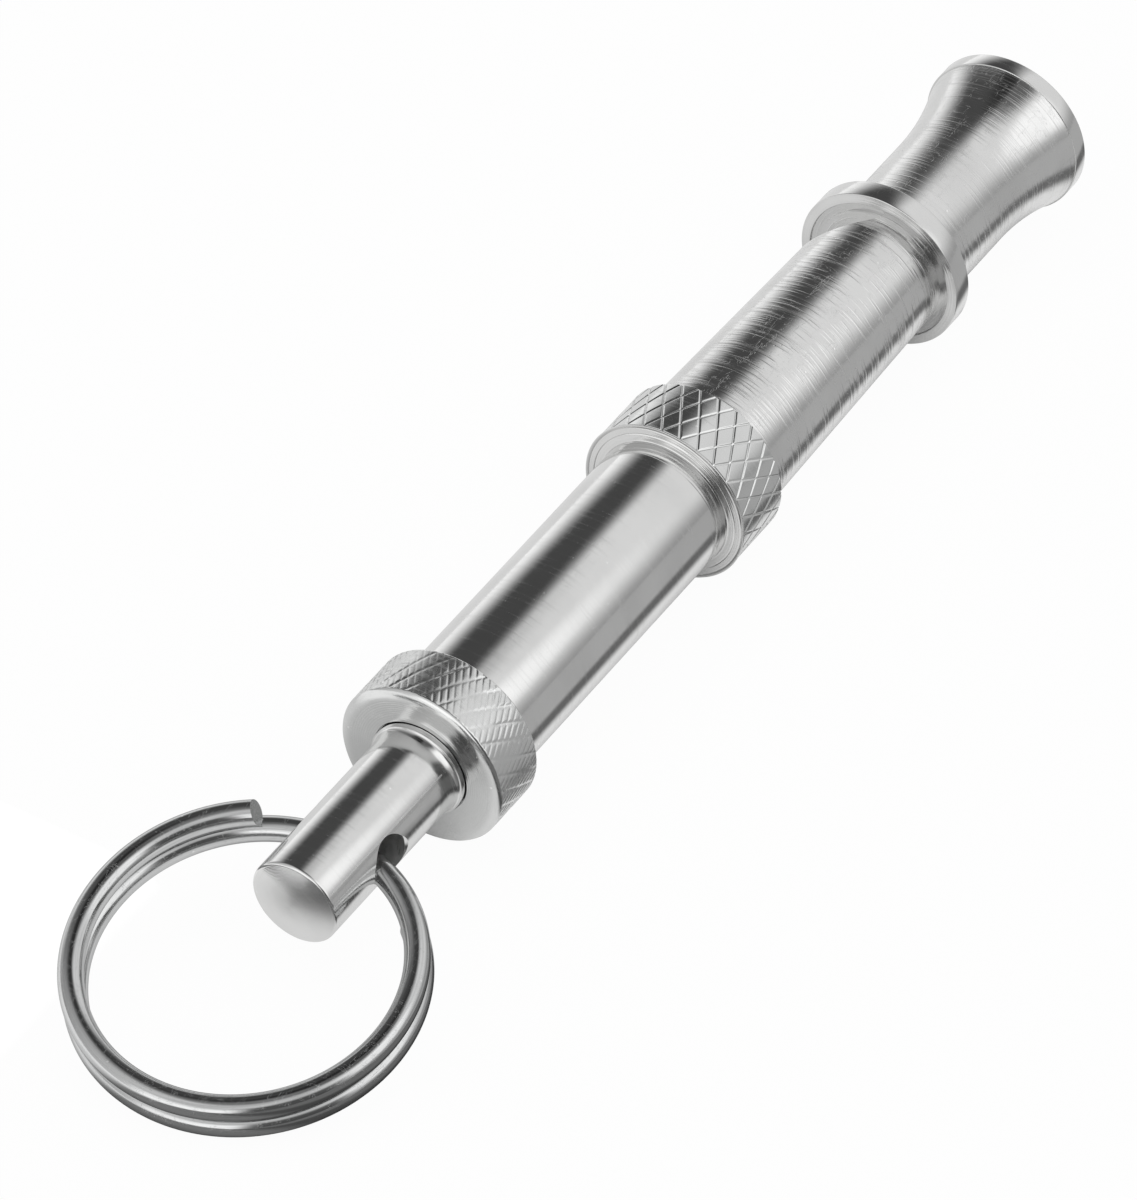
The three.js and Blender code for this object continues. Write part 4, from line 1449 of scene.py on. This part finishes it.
def floor_material():
    """Pale paper that stays white behind the object and keeps its soft shadow, with painted strips of light
    and shade, greyer on the near side, that only the metal mirrors.
    """
    material = bpy.data.materials.new("floor_paper")
    material.use_nodes = True
    tree = material.node_tree
    tree.nodes.clear()
    place = new_node(tree, "ShaderNodeTexCoord").outputs["Object"]
    xyz = new_node(tree, "ShaderNodeSeparateXYZ", {0: place}).outputs
    along, away = xyz["X"], calc(tree, "SUBTRACT", xyz["Y"], AXIS.y)
    # Painted reflections: strips of painted light and shade that only glossy and transmission rays see
    near = spread(tree, away, NEAR_STRIP, NEAR_TONES)
    near = multiplied(tree, near, spread(tree, along, NEAR_END, NEAR_END_SHARES))
    ring = multiplied(tree, spread(tree, along, RING_END, RING_SHADES), spread(tree, away, RING_STRIP, FADE))
    behind = spread(tree, away, BEHIND_STRIP, BEHIND_SHADES)
    behind = multiplied(tree, behind, spread(tree, along, BEHIND_END))
    under = spread(tree, away, UNDER_STRIP, UNDER_TONES)
    under = multiplied(tree, under, remainder(tree, ring), remainder(tree, behind))
    painted_tone = summed(tree, near, under, spread(tree, away, BEYOND_STRIP, BEYOND_TONES))
    # Painted contact shade, taken from ambient occlusion
    inputs = {"Distance": CLOSED_IN_REACH}
    open_sky = new_node(tree, "ShaderNodeAmbientOcclusion", inputs, samples=CLOSED_IN_SAMPLES).outputs["AO"]
    painted_tone = multiplied(tree, painted_tone, spread(tree, open_sky, CLOSED_IN))
    ray = new_node(tree, "ShaderNodeLightPath").outputs
    shown = calc(tree, "MAXIMUM", painted_tone, ray["Is Camera Ray"])
    paper = new_node(tree, "ShaderNodeBsdfDiffuse", {"Color": PAPER}).outputs[0]
    white = new_node(tree, "ShaderNodeEmission", {"Color": shown, "Strength": 1.0}).outputs[0]
    mirrored = summed(tree, ray["Is Glossy Ray"], ray["Is Transmission Ray"])
    seen = multiplied(tree, ray["Is Camera Ray"], SEEN_SHARE)
    share = summed(tree, seen, multiplied(tree, mirrored, MIRRORED_SHARE))
    mix = new_node(tree, "ShaderNodeMixShader", {0: share, 1: paper, 2: white}).outputs[0]
    new_node(tree, "ShaderNodeOutputMaterial", {"Surface": mix})
    return material


# The studio, in degrees around the whistle from +X and above the floor, with how bright its parts are
ROOM_LEVEL = 0.38
WALL_START = (-6.5, 18.5)
WALL_END = (60.0, 105.0)
WALL_HEIGHT = (2.0, 35.0)
WALL_LEVELS = (1.1, 0.07)
LEFT_SIDE = (85.0, 158.0)
LEFT_LEVEL = 0.34
WINDOW_SIDE = (146.0, 160.0)
WINDOW_FOOT = (-8.0, 2.0)
WINDOW_HEAD = (22.0, 36.0)
WINDOW_LEVELS = (0.6, 0.0)
CEILING = (58.0, 74.0)
CEILING_SHARES = (1.0, 0.33)
GLOW_START = (-135.0, -100.0)
GLOW_END = (28.5, -5.5)
GLOW_FOOT = (0.0, 26.0)
GLOW_HEAD = (54.0, 72.0)
GLOW_LEVELS = (0.46, 0.0)
BOX_WAY = (0.166, -0.781, 0.602)
BOX_EDGE = (0.885, 0.965)
BOX_LEVELS = (0.0, 0.38)
CORNER_START = (-164.0, -148.0)
CORNER_END = (-112.0, -94.0)
CORNER_HEAD = (28.0, 42.0)
CORNER_SHADE = 0.85


def studio_world():
    """A soft studio: a light box with its glow, a dark wall behind the whistle and a grey room."""
    world = bpy.data.worlds.new("studio")
    world.use_nodes = True
    tree = world.node_tree
    tree.nodes.clear()
    way = new_node(tree, "ShaderNodeTexCoord").outputs["Generated"]
    xyz = new_node(tree, "ShaderNodeSeparateXYZ", {0: way}).outputs
    around = multiplied(tree, calc(tree, "ARCTAN2", xyz["Y"], xyz["X"]), 360 / TURN)
    height = multiplied(tree, calc(tree, "ARCSINE", xyz["Z"]), 360 / TURN)
    either_way = calc(tree, "ABSOLUTE", around)
    wall = multiplied(tree, spread(tree, around, WALL_START), spread(tree, around, WALL_END, FADE))
    inputs = {0: wall, 2: ROOM_LEVEL, 3: spread(tree, height, WALL_HEIGHT, WALL_LEVELS)}
    room = new_node(tree, "ShaderNodeMix", inputs, data_type="FLOAT").outputs[0]
    left = multiplied(tree, spread(tree, either_way, LEFT_SIDE), LEFT_LEVEL)
    window = multiplied(
        tree,
        spread(tree, either_way, WINDOW_SIDE),
        spread(tree, height, WINDOW_FOOT),
        spread(tree, height, WINDOW_HEAD, WINDOW_LEVELS),
    )
    room = multiplied(tree, summed(tree, room, left, window), spread(tree, height, CEILING, CEILING_SHARES))
    glow = multiplied(
        tree,
        spread(tree, around, GLOW_END),
        spread(tree, around, GLOW_START),
        spread(tree, height, GLOW_FOOT),
        spread(tree, height, GLOW_HEAD, GLOW_LEVELS),
    )
    facing = vector_calc(tree, "DOT_PRODUCT", {0: way, 1: BOX_WAY}, "Value")
    level = summed(tree, room, glow, spread(tree, facing, BOX_EDGE, BOX_LEVELS))
    corner = multiplied(
        tree,
        spread(tree, around, CORNER_START),
        spread(tree, around, CORNER_END, FADE),
        spread(tree, height, CORNER_HEAD, FADE),
        CORNER_SHADE,
    )
    level = multiplied(tree, level, remainder(tree, corner))
    light = new_node(tree, "ShaderNodeBackground", {"Color": (1, 1, 1, 1), "Strength": level}).outputs[0]
    new_node(tree, "ShaderNodeOutputWorld", {"Surface": light})
    return world


class WHISTLE_OT_stage(bpy.types.Operator):
    """Lays the floor and sets the studio's light and the camera"""

    bl_idname = "whistle.stage"
    bl_label = "Stage"

    def execute(self, context):
        scene = context.scene
        sizes = scene.whistle_stage
        scene.view_settings.view_transform = "Standard"
        scene.world = studio_world()

        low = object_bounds()[0].z - SEAM
        half = sizes.floor_size / 2
        corners = [(-half, -half, low), (half, -half, low), (half, half, low), (-half, half, low)]
        floor = piece("floor", corners, [(0, 1, 2, 3)])
        floor.data.materials.append(floor_material())
        floor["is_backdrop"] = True

        lamp = bpy.data.lights.new("overhead", "AREA")
        lamp.energy = sizes.light
        lamp.size = sizes.lamp_size
        overhead = bpy.data.objects.new("overhead", lamp)
        overhead.location = (0, sizes.lamp_side, sizes.lamp_height)
        overhead.rotation_euler = (-math.atan2(sizes.lamp_side, sizes.lamp_height), 0, 0)
        overhead.visible_glossy = False
        scene.collection.objects.link(overhead)

        azimuth, elevation = sizes.azimuth, sizes.elevation
        right = Vector((math.cos(azimuth), math.sin(azimuth), 0))
        back = Vector(
            (
                math.sin(azimuth) * math.cos(elevation),
                -math.cos(azimuth) * math.cos(elevation),
                math.sin(elevation),
            )
        )
        up = back.cross(right)
        target = AXIS + Vector((sizes.anchor, 0, 0)) - right * sizes.anchor_right - up * sizes.anchor_up
        lens = bpy.data.cameras.new("camera")
        lens.lens = lens.sensor_width * sizes.focal / IMAGE_HEIGHT
        camera = bpy.data.objects.new("camera", lens)
        turned = Matrix((right, up, back)).transposed().to_4x4()
        turned.translation = target + back * sizes.focal / sizes.scale * MM
        camera.matrix_world = turned
        scene.collection.objects.link(camera)
        scene.camera = camera
        return {"FINISHED"}


SETTINGS = {
    "whistle_mouthpiece": MouthpieceSizes,
    "whistle_barrel": BarrelSizes,
    "whistle_tuning": TuningSizes,
    "whistle_knurl": KnurlSizes,
    "whistle_swivel": SwivelSizes,
    "whistle_colours": FinishColours,
    "whistle_stage": StageSettings,
}
STEPS = (
    WHISTLE_OT_mouthpiece,
    WHISTLE_OT_barrel,
    WHISTLE_OT_piston,
    WHISTLE_OT_tuning,
    WHISTLE_OT_lock_nut,
    WHISTLE_OT_end_knob,
    WHISTLE_OT_swivel,
    WHISTLE_OT_split_ring,
    WHISTLE_OT_stage,
)


class WHISTLE_PT_build(bpy.types.Panel):
    """The steps that build the whistle, and their sizes"""

    bl_idname = "WHISTLE_PT_build"
    bl_label = "Dog Whistle"
    bl_space_type = "VIEW_3D"
    bl_region_type = "UI"
    bl_category = "Whistle"

    def draw(self, context):
        for step in STEPS:
            self.layout.operator(step.bl_idname)
        for name, group in SETTINGS.items():
            box = self.layout.box()
            box.label(text=group.__doc__)
            for key in group.__annotations__:
                box.prop(getattr(context.scene, name), key)


def register():
    for kind in (*SETTINGS.values(), *STEPS, WHISTLE_PT_build):
        bpy.utils.register_class(kind)
    for name, group in SETTINGS.items():
        setattr(bpy.types.Scene, name, PointerProperty(type=group))


def unregister():
    for name in SETTINGS:
        delattr(bpy.types.Scene, name)
    for kind in reversed((*SETTINGS.values(), *STEPS, WHISTLE_PT_build)):
        bpy.utils.unregister_class(kind)


def main():
    """Builds the pieces and the stage in order."""
    register()
    bpy.ops.whistle.mouthpiece()
    bpy.ops.whistle.barrel()
    bpy.ops.whistle.piston()
    bpy.ops.whistle.tuning()
    bpy.ops.whistle.lock_nut()
    bpy.ops.whistle.end_knob()
    bpy.ops.whistle.swivel()
    bpy.ops.whistle.split_ring()
    bpy.ops.whistle.stage()


if __name__ == "__main__":
    main()
